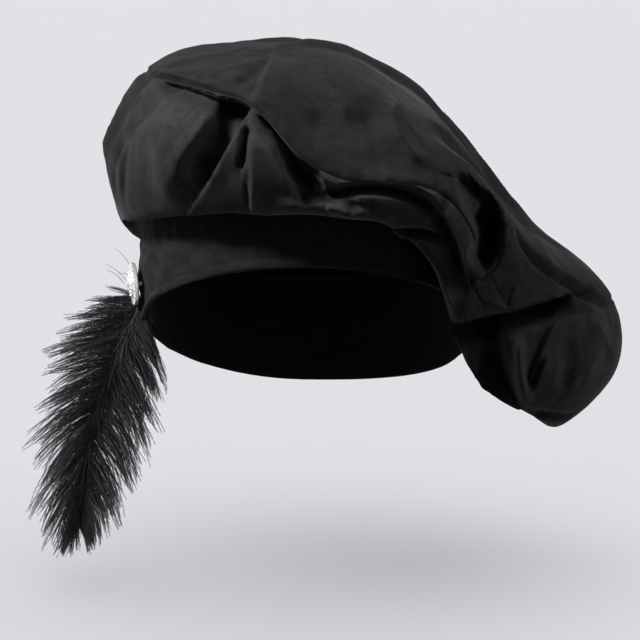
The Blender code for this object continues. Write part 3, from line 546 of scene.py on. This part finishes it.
def ring_faces(rows, columns, start=0):
    """Quads of a closed ring of rows."""
    return [
        (start + i * columns + j, start + i * columns + (j + 1) % columns,
         start + (i + 1) * columns + (j + 1) % columns, start + (i + 1) * columns + j)
        for i in range(rows - 1) for j in range(columns)
    ]


def add_cloth(item):
    """Thickness for a cloth surface, with crisp cut edges."""
    mesh = item.data
    borders = np.zeros(len(mesh.loops), dtype=np.int32)
    mesh.loops.foreach_get("edge_index", borders)
    mesh.edges.foreach_set("use_edge_sharp", np.bincount(borders, minlength=len(mesh.edges)) == 1)
    shell = item.modifiers.new("Cloth", "SOLIDIFY")
    shell.thickness = CLOTH
    shell.offset = -1.0
    shell.use_rim = True


def make_underside(material):
    """A ring from the band to the rim seam."""
    azimuth = column_azimuth(np.arange(RING_COLUMNS) / RING_COLUMNS)
    share = np.linspace(0, 1, RING_ROWS)
    level = SEAM_STATION * (1 - (1 - share) ** RING_SPREAD)
    around, along = np.meshgrid(azimuth, level)
    points = cloth_point(around, along).reshape(-1, 3)
    item = new_piece(
        "underside_cloth", points.tolist(), ring_faces(RING_ROWS, RING_COLUMNS), material,
        ("crown_underside",),
    )
    add_cloth(item)
    return item


def make_top(material):
    """A disc on a net of squares, from the rim seam over the top."""
    half = TOP_NET // 2
    i, j = np.meshgrid(np.arange(-half, half + 1), np.arange(-half, half + 1), indexing="ij")
    ring = np.maximum(abs(i), abs(j))
    step = np.select(
        [(j == -ring) & (i < ring), (i == ring) & (j < ring), (j == ring) & (i > -ring)],
        [i + ring, 3 * ring + j, 5 * ring - i],
        7 * ring - j,
    )
    azimuth = column_azimuth(np.where(ring > 0, step / np.maximum(8 * ring, 1), 0.0))
    station = SEAM_STATION + (STATIONS - SEAM_STATION) * (1 - ring / half) ** TOP_SPREAD
    points = cloth_point(azimuth, station).reshape(-1, 3)
    wide = TOP_NET + 1
    faces = [
        (a * wide + b, (a + 1) * wide + b, (a + 1) * wide + b + 1, a * wide + b + 1)
        for a in range(TOP_NET) for b in range(TOP_NET)
    ]
    item = new_piece("top_cloth", points.tolist(), faces, material, ("crown_top",))
    add_cloth(item)
    return item


# The band's section, with its turned hem. Its first rows, up to the hem's edge, are the outer face.
BAND_OUTER_ROWS = 12
BAND_SECTION = (
    # share of the way down its wall, distance out of the oval
    (-0.01, -0.0026),
    (0.03, -0.0014),
    (0.10, -0.0002),
    (0.22, 0.0006),
    (0.40, 0.0011),
    (0.60, 0.0008),
    (0.78, -0.0001),
    (0.88, -0.0007),
    (0.905, -0.0011),
    (0.93, -0.0006),
    (0.965, -0.0004),
    (0.99, -0.0008),
    (1.005, -0.0017),
    (0.99, -0.0027),
    (0.95, -0.0031),
    (0.60, -0.0031),
    (0.25, -0.0031),
    (0.00, -0.0031),
)


def make_band(material):
    """The head band: its section carried round the oval."""
    section = np.array(BAND_SECTION)
    steps = np.hypot(np.diff(section[:, 0]) * BAND_HEIGHT, np.diff(section[:, 1]))
    reach = np.concatenate([[0], np.cumsum(steps)])
    at = np.sort(np.concatenate([reach, np.linspace(0, reach[-1], BAND_ROWS)]))
    down, out = np.interp(at, reach, section[:, 0]), np.interp(at, reach, section[:, 1])
    turns = np.arange(BAND_TURNS) / BAND_TURNS * 2 * math.pi
    rings = [[band_wall(turn, d, b) for d, b in zip(down, out)] for turn in turns]
    points = np.array(rings).transpose(1, 0, 2)
    radial = points - points.mean(1, keepdims=True)
    radial /= np.linalg.norm(radial, axis=-1, keepdims=True)
    outer = (np.arange(len(at)) < np.searchsorted(at, reach[BAND_OUTER_ROWS]))[:, None]
    sway = unevenness(points, BAND_UNEVEN) * np.where(outer, 1.0, BAND_INSIDE_UNEVEN)
    points = points + radial * sway[..., None]
    rows, columns = points.shape[:2]
    last = (rows - 1) * columns
    faces = ring_faces(rows, columns)
    faces += [(last + k, last + (k + 1) % columns, (k + 1) % columns, k) for k in range(columns)]
    return new_piece(
        "band_cloth", points.reshape(-1, 3).tolist(), faces, material, ("band",),
    )


# ---- plume ----

# Each side has two layers of barbs, which draw together in tufts towards their tips.
# Fans are radians out of the plume's plane, shifts are degrees of a barb's angle.
# Pairs are a range that a random share or size is drawn from.
BARBS_PER_LAYER = 310
TUFTS_PER_LAYER = 34
LAYER_FAN = 0.24
MOST_FAN = 0.75
TUFT_LENGTH = (0.84, 1.06)
TUFT_SHIFT = 5
TUFT_FAN = 0.16
TUFT_DROOP = (0.5, 1.2)
TUFT_PULL = (0.45, 0.95)
PULL_CURVE = 1.8
LOOSE_SHARE = 0.14
NEIGHBOUR_TUFTS = 0.7
BARB_STEPS = 9
BARB_ROOT = 0.00026
BARB_TIP = 0.00007
BARB_LENGTH = (0.72, 1.0)
BARB_SHIFT = 5
BARB_FAN = 0.12
BARB_DROOP = math.radians(34)
DROOP_RANGE = (0.7, 1.2)
BARBULE_PITCH = 0.00092
BARBULE_LENGTH = 0.0048
BARBULE_RANGE = (0.8, 1.15)
BARBULE_LENGTHS = (0.55, 1.15)
BARBULE_HALF = 0.00013
BARBULE_ANGLE = math.radians(26)
BARBULE_LEAN = (0.6, 1.25)
BARBULE_ROLL = 0.75
BARBULE_SAG = 0.10
BARBULE_TAPER = 0.74
QUILL_SIDES = 8
QUILL_STEPS = 48
FRONT_BARBS = 200
FRONT_BARB_FROM = 0.10
FRONT_BARB_TO = 0.96
FRONT_BARB_LENGTH = (0.010, 0.020)
FRONT_BARB_DROP = (48, 86)
FRONT_BARB_FAN = (-0.5, -0.2)
FRONT_BARB_DROOP = (0.3, 1.0)
FRONT_BARB_STEPS = 6
FRONT_BARBULES = 0.6
STRAY_ROOT = 0.00018
STRAY_TIP = 0.00009
STRAY_BEND = 0.8
STRAY_DEPTH = 2.0
STRAYS = (
    # x0, up0, x1, up1: loose strands over the brooch, seen from the front (mm)
    (-97.2, 29.7, -106.1, 41.7),
    (-99.7, 22.4, -111.4, 32.8),
    (-101.4, 21.3, -110.9, 29.4),
    (-98.5, 25.5, -104.5, 27.0),
)


def unit(vectors):
    return vectors / np.maximum(np.linalg.norm(vectors, axis=-1, keepdims=True), 1e-12)


def tube(path, radii, sides=3):
    """A closed tapered tube along a path: its points and faces."""
    along = unit(np.gradient(path, axis=0))
    aside = unit(np.cross(along, np.array([0.13, 0.94, 0.31])))
    other = np.cross(along, aside)
    angle = 2 * math.pi * np.arange(sides) / sides
    ring = path[:, None] + radii[:, None, None] * (
        aside[:, None] * np.cos(angle)[None, :, None] + other[:, None] * np.sin(angle)[None, :, None]
    )
    faces = ring_faces(len(path), sides)
    faces.append(tuple(reversed(range(sides))))
    faces.append(tuple((len(path) - 1) * sides + k for k in range(sides)))
    return ring.reshape(-1, 3), faces


def barb_path(root, side, drop, fan, length, droop, steps=BARB_STEPS):
    """A barb's curve: it leaves the quill at an angle and droops along its length."""
    t = np.linspace(0, 1, steps)
    angle = drop + droop * (t - 0.4)
    turn = np.stack([
        side * np.cos(angle) * math.cos(fan), np.full(steps, math.sin(fan)), -np.sin(angle) * math.cos(fan),
    ], -1)
    stride = (turn[1:] + turn[:-1]) / 2 * length / (steps - 1)
    return root + np.concatenate([np.zeros((1, 3)), np.cumsum(stride, 0)])


def fringe(path, rng, length):
    """Barbules on both sides of a barb: points and faces of closed spikes."""
    gap = np.linalg.norm(np.diff(path, axis=0), axis=1).sum()
    count = max(4, int(gap / BARBULE_PITCH))
    at = np.repeat(np.linspace(0.0, 1.0, count), 2)
    place = at * (len(path) - 1)
    cell = np.minimum(place.astype(int), len(path) - 2)
    base = path[cell] + (path[cell + 1] - path[cell]) * (place - cell)[:, None]
    along = unit(path[cell + 1] - path[cell])
    aside = unit(np.cross(along, np.array([0.0, 1.0, 0.0])))
    depth = np.cross(along, aside)
    which = np.tile([1.0, -1.0], count)
    roll = rng.normal(0, BARBULE_ROLL, len(at))
    across = aside * (which * np.cos(roll))[:, None] + depth * np.sin(roll)[:, None]
    lean = BARBULE_ANGLE * rng.uniform(*BARBULE_LEAN, len(at))
    way = along * np.cos(lean)[:, None] + across * np.sin(lean)[:, None] + np.array([0, 0, -BARBULE_SAG])
    size = length * (1 - BARBULE_TAPER * at) * rng.uniform(*BARBULE_LENGTHS, len(at))
    tip = base + unit(way) * size[:, None]
    flat = unit(np.cross(way, along + 0.01)) * BARBULE_HALF
    lift = unit(np.cross(way, flat)) * BARBULE_HALF
    corners = [base + flat, base - flat * 0.5 + lift, base - flat * 0.5 - lift, tip]
    points = np.stack(corners, 1).reshape(-1, 3)
    first = 4 * np.arange(len(at))[:, None]
    corner = np.array([[0, 1, 3], [1, 2, 3], [2, 0, 3], [0, 2, 1]])
    return points, (first[:, :, None] + corner[None]).reshape(-1, 3).tolist()


def gather(parts):
    """Several point and face lists as one."""
    points, faces, start = [], [], 0
    for some, them in parts:
        points.append(some)
        faces.extend(tuple(v + start for v in face) for face in them)
        start += len(some)
    return np.concatenate(points).tolist(), faces


def make_barbs(name, side, fan, seed, material, replaced=()):
    """One layer of barbs on one side of the quill, fanned towards the front or the back."""
    rng = np.random.default_rng(seed)

    def draw(share, length_share, drop_shift, fan_at, droop):
        row = plume_row(share)
        reach, drop = (row[4], row[5]) if side < 0 else (row[6], row[7])
        angle = math.radians(drop + drop_shift)
        return barb_path(row[:3] / 1000, side, angle, fan_at, reach / 1000 * length_share, droop)

    tufts = [
        (
            0.02 + 0.96 * (tuft + 0.5) / TUFTS_PER_LAYER, rng.uniform(*TUFT_LENGTH),
            rng.normal(0, TUFT_SHIFT), float(np.clip(rng.normal(fan, TUFT_FAN), -MOST_FAN, MOST_FAN)),
            BARB_DROOP * rng.uniform(*TUFT_DROOP),
        )
        for tuft in range(TUFTS_PER_LAYER)
    ]
    t = np.linspace(0, 1, BARB_STEPS)[:, None]
    parts = []
    for index in range(BARBS_PER_LAYER):
        share = 0.015 + 0.97 * (index + rng.uniform(0, 1)) / BARBS_PER_LAYER
        near = round(share * TUFTS_PER_LAYER - 0.5 + rng.normal(0, NEIGHBOUR_TUFTS))
        tuft_share, full, shift, fan_at, droop = tufts[min(max(near, 0), TUFTS_PER_LAYER - 1)]
        trim = rng.uniform(*BARB_LENGTH)
        path = draw(
            share, full * trim, shift + rng.normal(0, BARB_SHIFT), fan_at + rng.normal(0, BARB_FAN),
            droop * rng.uniform(*DROOP_RANGE),
        )
        if rng.uniform() > LOOSE_SHARE:
            led = draw(tuft_share, full * trim, shift, fan_at, droop)
            path = path + (led - path) * t**PULL_CURVE * rng.uniform(*TUFT_PULL)
        parts.append(tube(path, np.linspace(BARB_ROOT, BARB_TIP, len(path))))
        parts.append(fringe(path, rng, BARBULE_LENGTH * rng.uniform(*BARBULE_RANGE)))
    points, faces = gather(parts)
    return new_piece(name, points, faces, material, replaced)


def make_quill(material):
    """The quill, with short barbs lying along its front and loose strands at its root."""
    rng = np.random.default_rng(31)
    rows = np.array([plume_row(share) for share in np.linspace(0, 1, QUILL_STEPS)])
    parts = [tube(rows[:, :3] / 1000, rows[:, 3] / 1000, QUILL_SIDES)]
    for index, at in enumerate(np.linspace(FRONT_BARB_FROM, FRONT_BARB_TO, FRONT_BARBS)):
        row = plume_row(at + rng.uniform(-0.004, 0.004))
        root = row[:3] / 1000 - np.array([0.0, row[3] / 1000, 0.0])
        path = barb_path(
            root, 2 * (index % 2) - 1, math.radians(rng.uniform(*FRONT_BARB_DROP)),
            rng.uniform(*FRONT_BARB_FAN), rng.uniform(*FRONT_BARB_LENGTH),
            BARB_DROOP * rng.uniform(*FRONT_BARB_DROOP), FRONT_BARB_STEPS,
        )
        parts.append(tube(path, np.linspace(BARB_ROOT, BARB_TIP, len(path))))
        parts.append(fringe(path, rng, BARBULE_LENGTH * FRONT_BARBULES))
    t = np.linspace(0, 1, BARB_STEPS)
    for x0, up0, x1, up1 in STRAYS:
        bend = np.sin(t * math.pi) * STRAY_BEND
        across, above = x0 + (x1 - x0) * t + bend, up0 + (up1 - up0) * t + bend
        path = np.stack([across, STRAY_DEPTH * (1 - 2 * t), above], -1) / 1000
        parts.append(tube(path, np.linspace(STRAY_ROOT, STRAY_TIP, len(path))))
    points, faces = gather(parts)
    return new_piece("plume_quill", points, faces, material, ())


# ---- materials ----

def ramp(tree, factor, stops):
    made = tree.nodes.new("ShaderNodeValToRGB")
    band = made.color_ramp
    while len(band.elements) < len(stops):
        band.elements.new(0.5)
    for element, (at, colour) in zip(band.elements, stops):
        element.position = at
        element.color = (*colour, 1.0)
    tree.links.new(factor, made.inputs["Fac"])
    return made.outputs["Color"]


def noise(tree, where, scale, detail=3.0, rough=0.55, bend=0.0):
    made = tree.nodes.new("ShaderNodeTexNoise")
    made.inputs["Scale"].default_value = scale
    made.inputs["Detail"].default_value = detail
    made.inputs["Roughness"].default_value = rough
    made.inputs["Distortion"].default_value = bend
    tree.links.new(where, made.inputs["Vector"])
    return made.outputs["Fac"]


def blank(name):
    material = bpy.data.materials.new(name)
    material.use_nodes = True
    tree = material.node_tree
    shader = tree.nodes["Principled BSDF"]
    where = tree.nodes.new("ShaderNodeTexCoord").outputs["Object"]
    return material, tree, shader, where


def bump(tree, height, strength, distance, under=None):
    made = tree.nodes.new("ShaderNodeBump")
    made.inputs["Strength"].default_value = strength
    made.inputs["Distance"].default_value = distance
    tree.links.new(height, made.inputs["Height"])
    if under is not None:
        tree.links.new(under, made.inputs["Normal"])
    return made.outputs["Normal"]


# Painted shade: an oval patch on the tail's lower left, darkened where that part lies in deep shadow.
PAINTED_SHADE_PATCHES = (
    # centre, reach (m), share of the colour left at the middle
    ((0.093, -0.060, -0.016), (0.026, 0.130, 0.036), 0.30),
)


def paint_shade_patch(tree, where, colour, centre, reach, left):
    """Painted shade: darkens an oval patch where that part lies in shadow, to a share of its colour at the
    middle.
    """
    place = tree.nodes.new("ShaderNodeMapping")
    place.inputs["Location"].default_value = [-c / r for c, r in zip(centre, reach)]
    place.inputs["Scale"].default_value = [1 / r for r in reach]
    tree.links.new(where, place.inputs["Vector"])
    oval = tree.nodes.new("ShaderNodeTexGradient")
    oval.gradient_type = "SPHERICAL"
    tree.links.new(place.outputs["Vector"], oval.inputs["Vector"])
    both = tree.nodes.new("ShaderNodeMix")
    both.data_type = "RGBA"
    both.blend_type = "MULTIPLY"
    both.inputs["Factor"].default_value = 1.0
    tree.links.new(colour, both.inputs["A"])
    painted_shade_mask = ramp(tree, oval.outputs["Fac"], ((0.0, (1.0,) * 3), (0.4, (left,) * 3)))
    tree.links.new(painted_shade_mask, both.inputs["B"])
    return both.outputs["Result"]


def velvet(name, shift, stretch, painted_tone=1.0):
    """Black velvet: brushed patches in the nap, a fine pile and a soft sheen, with its colour scaled by a
    painted light-and-shade tone and darkened in painted shade patches.
    """
    material, tree, shader, where = blank(name)
    place = tree.nodes.new("ShaderNodeMapping")
    place.inputs["Location"].default_value = shift
    place.inputs["Scale"].default_value = stretch
    tree.links.new(where, place.inputs["Vector"])
    brushed = noise(tree, place.outputs["Vector"], 34, 4, 0.6, 0.6)
    crushed = noise(tree, place.outputs["Vector"], 150, 4, 0.65, 0.3)
    pile = noise(tree, where, 1500, 2, 0.7)
    mixed = tree.nodes.new("ShaderNodeMix")
    mixed.inputs["Factor"].default_value = 0.58
    tree.links.new(brushed, mixed.inputs["A"])
    tree.links.new(crushed, mixed.inputs["B"])
    patch = mixed.outputs["Result"]
    # Painted light and shade: the colour is scaled by a tone per piece, darker on the top and the band,
    # lighter on the underside, for how the light falls on them.
    grey_with_painted_tone = np.array([1.0, 1.0, 1.02]) * painted_tone
    colour = ramp(tree, patch, ((0.38, 0.0135 * grey_with_painted_tone), (0.50, 0.0195 * grey_with_painted_tone), (0.62, 0.0265 * grey_with_painted_tone)))
    # Painted shade: the oval patches on the tail darken the colour.
    for row in PAINTED_SHADE_PATCHES:
        colour = paint_shade_patch(tree, where, colour, *row)
    tree.links.new(colour, shader.inputs["Base Color"])
    rough = ramp(tree, patch, ((0.3, (0.95, 0.95, 0.95)), (0.7, (0.80, 0.80, 0.80))))
    tree.links.new(rough, shader.inputs["Roughness"])
    normal = bump(tree, brushed, 0.08, 0.0005)
    normal = bump(tree, crushed, 0.22, 0.0004, normal)
    normal = bump(tree, pile, 0.45, 0.00025, normal)
    tree.links.new(normal, shader.inputs["Normal"])
    shader.inputs["Specular IOR Level"].default_value = 0.12
    shader.inputs["Sheen Weight"].default_value = 0.05
    shader.inputs["Sheen Roughness"].default_value = 0.36
    shader.inputs["Sheen Tint"].default_value = (0.86, 0.87, 0.92, 1)
    return material


def feather(name, dark, light):
    material, tree, shader, where = blank(name)
    streak = noise(tree, where, 240, 3, 0.6)
    fine = noise(tree, where, 2600, 2, 0.6)
    tree.links.new(ramp(tree, streak, ((0.35, dark), (0.68, light))), shader.inputs["Base Color"])
    rough = ramp(tree, fine, ((0.3, (0.42,) * 3), (0.7, (0.62,) * 3)))
    tree.links.new(rough, shader.inputs["Roughness"])
    tree.links.new(bump(tree, fine, 0.2, 0.0001), shader.inputs["Normal"])
    shader.inputs["Specular IOR Level"].default_value = 0.5
    return material


def silver(name):
    material, tree, shader, where = blank(name)
    cloud = noise(tree, where, 420, 4, 0.6)
    scratch = noise(tree, where, 3800, 2, 0.6)
    colour = ramp(tree, cloud, ((0.3, (0.70, 0.69, 0.68)), (0.65, (0.93, 0.92, 0.90))))
    tree.links.new(colour, shader.inputs["Base Color"])
    rough = ramp(tree, cloud, ((0.3, (0.42,) * 3), (0.7, (0.28,) * 3)))
    tree.links.new(rough, shader.inputs["Roughness"])
    tree.links.new(bump(tree, scratch, 0.08, 0.00005), shader.inputs["Normal"])
    shader.inputs["Metallic"].default_value = 0.7
    return material


def crystal(name):
    material, tree, shader, where = blank(name)
    cloud = noise(tree, where, 700, 2, 0.5)
    colour = ramp(tree, cloud, ((0.3, (0.86, 0.89, 0.94)), (0.7, (0.98, 0.98, 1.0))))
    tree.links.new(colour, shader.inputs["Base Color"])
    rough = ramp(tree, cloud, ((0.3, (0.02,) * 3), (0.7, (0.07,) * 3)))
    tree.links.new(rough, shader.inputs["Roughness"])
    shader.inputs["Transmission Weight"].default_value = 0.55
    shader.inputs["IOR"].default_value = 1.6
    shader.inputs["Coat Weight"].default_value = 0.5
    return material


# ---- camera, light and floor ----

EYE_ELEVATION = math.radians(10)
EYE_DISTANCE = 1.6
FRAME_WIDTH = 0.3584
FRAME_SHIFT = (15 / 640, 1 / 640)
FLOOR_DOWN = 0.150
FLOOR_RADIUS = 30.0
BACKDROP = (0.775, 0.778, 0.808, 1)
ROOM_LIGHT = (0.07, 0.07, 0.074, 1)
FLOOR_GLOW = (0.10, 0.10, 0.105, 1)
LAMP_AIM = (0.0, 0.0, 0.06)
LAMPS = (
    # name, place, size (m), power (W)
    ("key", (-0.95, -0.58, 1.18), 0.45, 38.5),
    ("fill", (0.85, -0.60, 1.20), 0.6, 8),
)
FLOOR_SUNS = (
    # name, strength, casts shadows
    ("overhead", 0.40, True),
    ("even", 1.95, False),
)
SUN_ANGLE = math.radians(85)
HAT = bpy.data.collections.new("hat")
scene.collection.children.link(HAT)


def lamp(name, place, aim, size, watts, lights):
    """A round soft light that falls on one collection."""
    data = bpy.data.lights.new(name, "AREA")
    data.shape = "DISK"
    data.size = size
    data.energy = watts
    item = bpy.data.objects.new(name, data)
    item.location = place
    item.rotation_euler = (Vector(place) - Vector(aim)).to_track_quat("Z", "Y").to_euler()
    item.light_linking.receiver_collection = lights
    scene.collection.objects.link(item)


def make_studio():
    eye = Vector((0, -math.cos(EYE_ELEVATION), math.sin(EYE_ELEVATION)))
    data = bpy.data.cameras.new("camera")
    data.sensor_width = 36
    data.lens = 36 * EYE_DISTANCE / FRAME_WIDTH
    data.shift_x, data.shift_y = FRAME_SHIFT
    camera = bpy.data.objects.new("camera", data)
    camera.location = eye * EYE_DISTANCE
    camera.rotation_euler = eye.to_track_quat("Z", "Y").to_euler()
    scene.collection.objects.link(camera)
    scene.camera = camera
    scene.view_settings.view_transform = "Standard"
    world = bpy.data.worlds.new("studio")
    scene.world = world
    world.use_nodes = True
    sky = world.node_tree
    seen = sky.nodes["Background"]
    seen.inputs["Color"].default_value = BACKDROP
    lit = sky.nodes.new("ShaderNodeBackground")
    lit.inputs["Color"].default_value = ROOM_LIGHT
    either = sky.nodes.new("ShaderNodeMixShader")
    sky.links.new(sky.nodes.new("ShaderNodeLightPath").outputs["Is Diffuse Ray"], either.inputs["Fac"])
    sky.links.new(seen.outputs["Background"], either.inputs[1])
    sky.links.new(lit.outputs["Background"], either.inputs[2])
    sky.links.new(either.outputs["Shader"], sky.nodes["World Output"].inputs["Surface"])
    bm = bmesh.new()
    bmesh.ops.create_circle(bm, cap_ends=True, segments=96, radius=FLOOR_RADIUS)
    mesh = bpy.data.meshes.new("floor")
    bm.to_mesh(mesh)
    bm.free()
    floor = bpy.data.objects.new("floor", mesh)
    floor.location = (0, 0, -FLOOR_DOWN)
    material, tree, shader, where = blank("floor_paper")
    cloud = noise(tree, where, 6, 3)
    paper = ramp(tree, cloud, ((0.3, (0.895, 0.888, 0.925)), (0.7, (0.905, 0.898, 0.935))))
    tree.links.new(paper, shader.inputs["Base Color"])
    shader.inputs["Roughness"].default_value = 0.9
    dim = tree.nodes.new("ShaderNodeBsdfDiffuse")
    dim.inputs["Color"].default_value = FLOOR_GLOW
    either = tree.nodes.new("ShaderNodeMixShader")
    tree.links.new(tree.nodes.new("ShaderNodeLightPath").outputs["Is Diffuse Ray"], either.inputs["Fac"])
    tree.links.new(shader.outputs["BSDF"], either.inputs[1])
    tree.links.new(dim.outputs["BSDF"], either.inputs[2])
    tree.links.new(either.outputs["Shader"], tree.nodes["Material Output"].inputs["Surface"])
    mesh.materials.append(material)
    scene.collection.objects.link(floor)
    only_floor = bpy.data.collections.new("floor_only")
    scene.collection.children.link(only_floor)
    only_floor.objects.link(floor)
    for name, place, size, watts in LAMPS:
        lamp(name, place, LAMP_AIM, size, watts, HAT)
    for name, strength, shades in FLOOR_SUNS:
        sun = bpy.data.lights.new(name, "SUN")
        sun.energy = strength
        sun.angle = SUN_ANGLE
        sun.use_shadow = shades
        above = bpy.data.objects.new(name, sun)
        above.light_linking.receiver_collection = only_floor
        scene.collection.objects.link(above)


def make_claws(material):
    """Four small round claws at the girdle of each stone."""
    bm = bmesh.new()
    place = brooch_matrix()
    for _, count, ring, girdle, radius in STONES:
        for index in range(count):
            turn = 2 * math.pi * (index + 0.5) / count
            for corner in range(4):
                lean = turn + math.pi * (0.25 + 0.5 * corner)
                spot = Vector((
                    ring * math.cos(turn) + (radius + 0.15) * math.cos(lean),
                    ring * math.sin(turn) + (radius + 0.15) * math.sin(lean),
                    girdle + 0.25,
                )) / 1000
                size = Matrix.Diagonal((CLAW, CLAW, CLAW * 1.3, 1.0))
                bmesh.ops.create_icosphere(
                    bm, subdivisions=2, radius=1.0, matrix=place @ Matrix.Translation(spot) @ size)
    mesh = bpy.data.meshes.new("brooch_claws")
    bm.to_mesh(mesh)
    bm.free()
    mesh.polygons.foreach_set("use_smooth", [True] * len(mesh.polygons))
    mesh.materials.append(material)
    item = bpy.data.objects.new("brooch_claws", mesh)
    scene.collection.objects.link(item)
    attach(item, "root")


def carry_over():
    """The brooch keeps its solids, with its own metal and stones."""
    metal, stone = silver("brooch_silver"), crystal("brooch_crystal")
    make_claws(metal)
    for name in frame["nodes"]:
        if name == "brooch_setting" or name == "brooch_post" or name.startswith("stone_"):
            item = bpy.data.objects.get(name) or frame["nodes"][name]
            for slot in item.material_slots:
                slot.material = stone if name.startswith("stone_") else metal


make_studio()
# Painted light and shade: lighter and darker copies of one velvet, the band and the top darker, the
# underside lighter, for how the light falls on them.
band = make_band(velvet("velvet_band", (4.4, 1.3, 3.1), (0.6, 0.6, 1.5), 0.6))
underside = make_underside(velvet("velvet_underside", (0.3, 0.1, 0.7), (1.0, 1.0, 0.55), 1.1))
top = make_top(velvet("velvet_top", (2.1, 0.4, 0.2), (0.8, 1.0, 1.0), 0.50))
barb_black = feather("feather_black", (0.0018, 0.0019, 0.0028), (0.016, 0.0172, 0.0245))
make_barbs("plume_left_barbs", -1, -LAYER_FAN, 11, barb_black, ("plume",))
make_barbs("plume_left_under_barbs", -1, LAYER_FAN, 13, barb_black)
make_barbs("plume_right_barbs", 1, -LAYER_FAN, 12, barb_black)
make_barbs("plume_right_under_barbs", 1, LAYER_FAN, 14, barb_black)
make_quill(feather("feather_quill", (0.008, 0.008, 0.0095), (0.03, 0.03, 0.035)))
carry_over()

for item in list(bpy.data.objects):
    if item.type == "MESH" and item.name != "floor":
        HAT.objects.link(item)
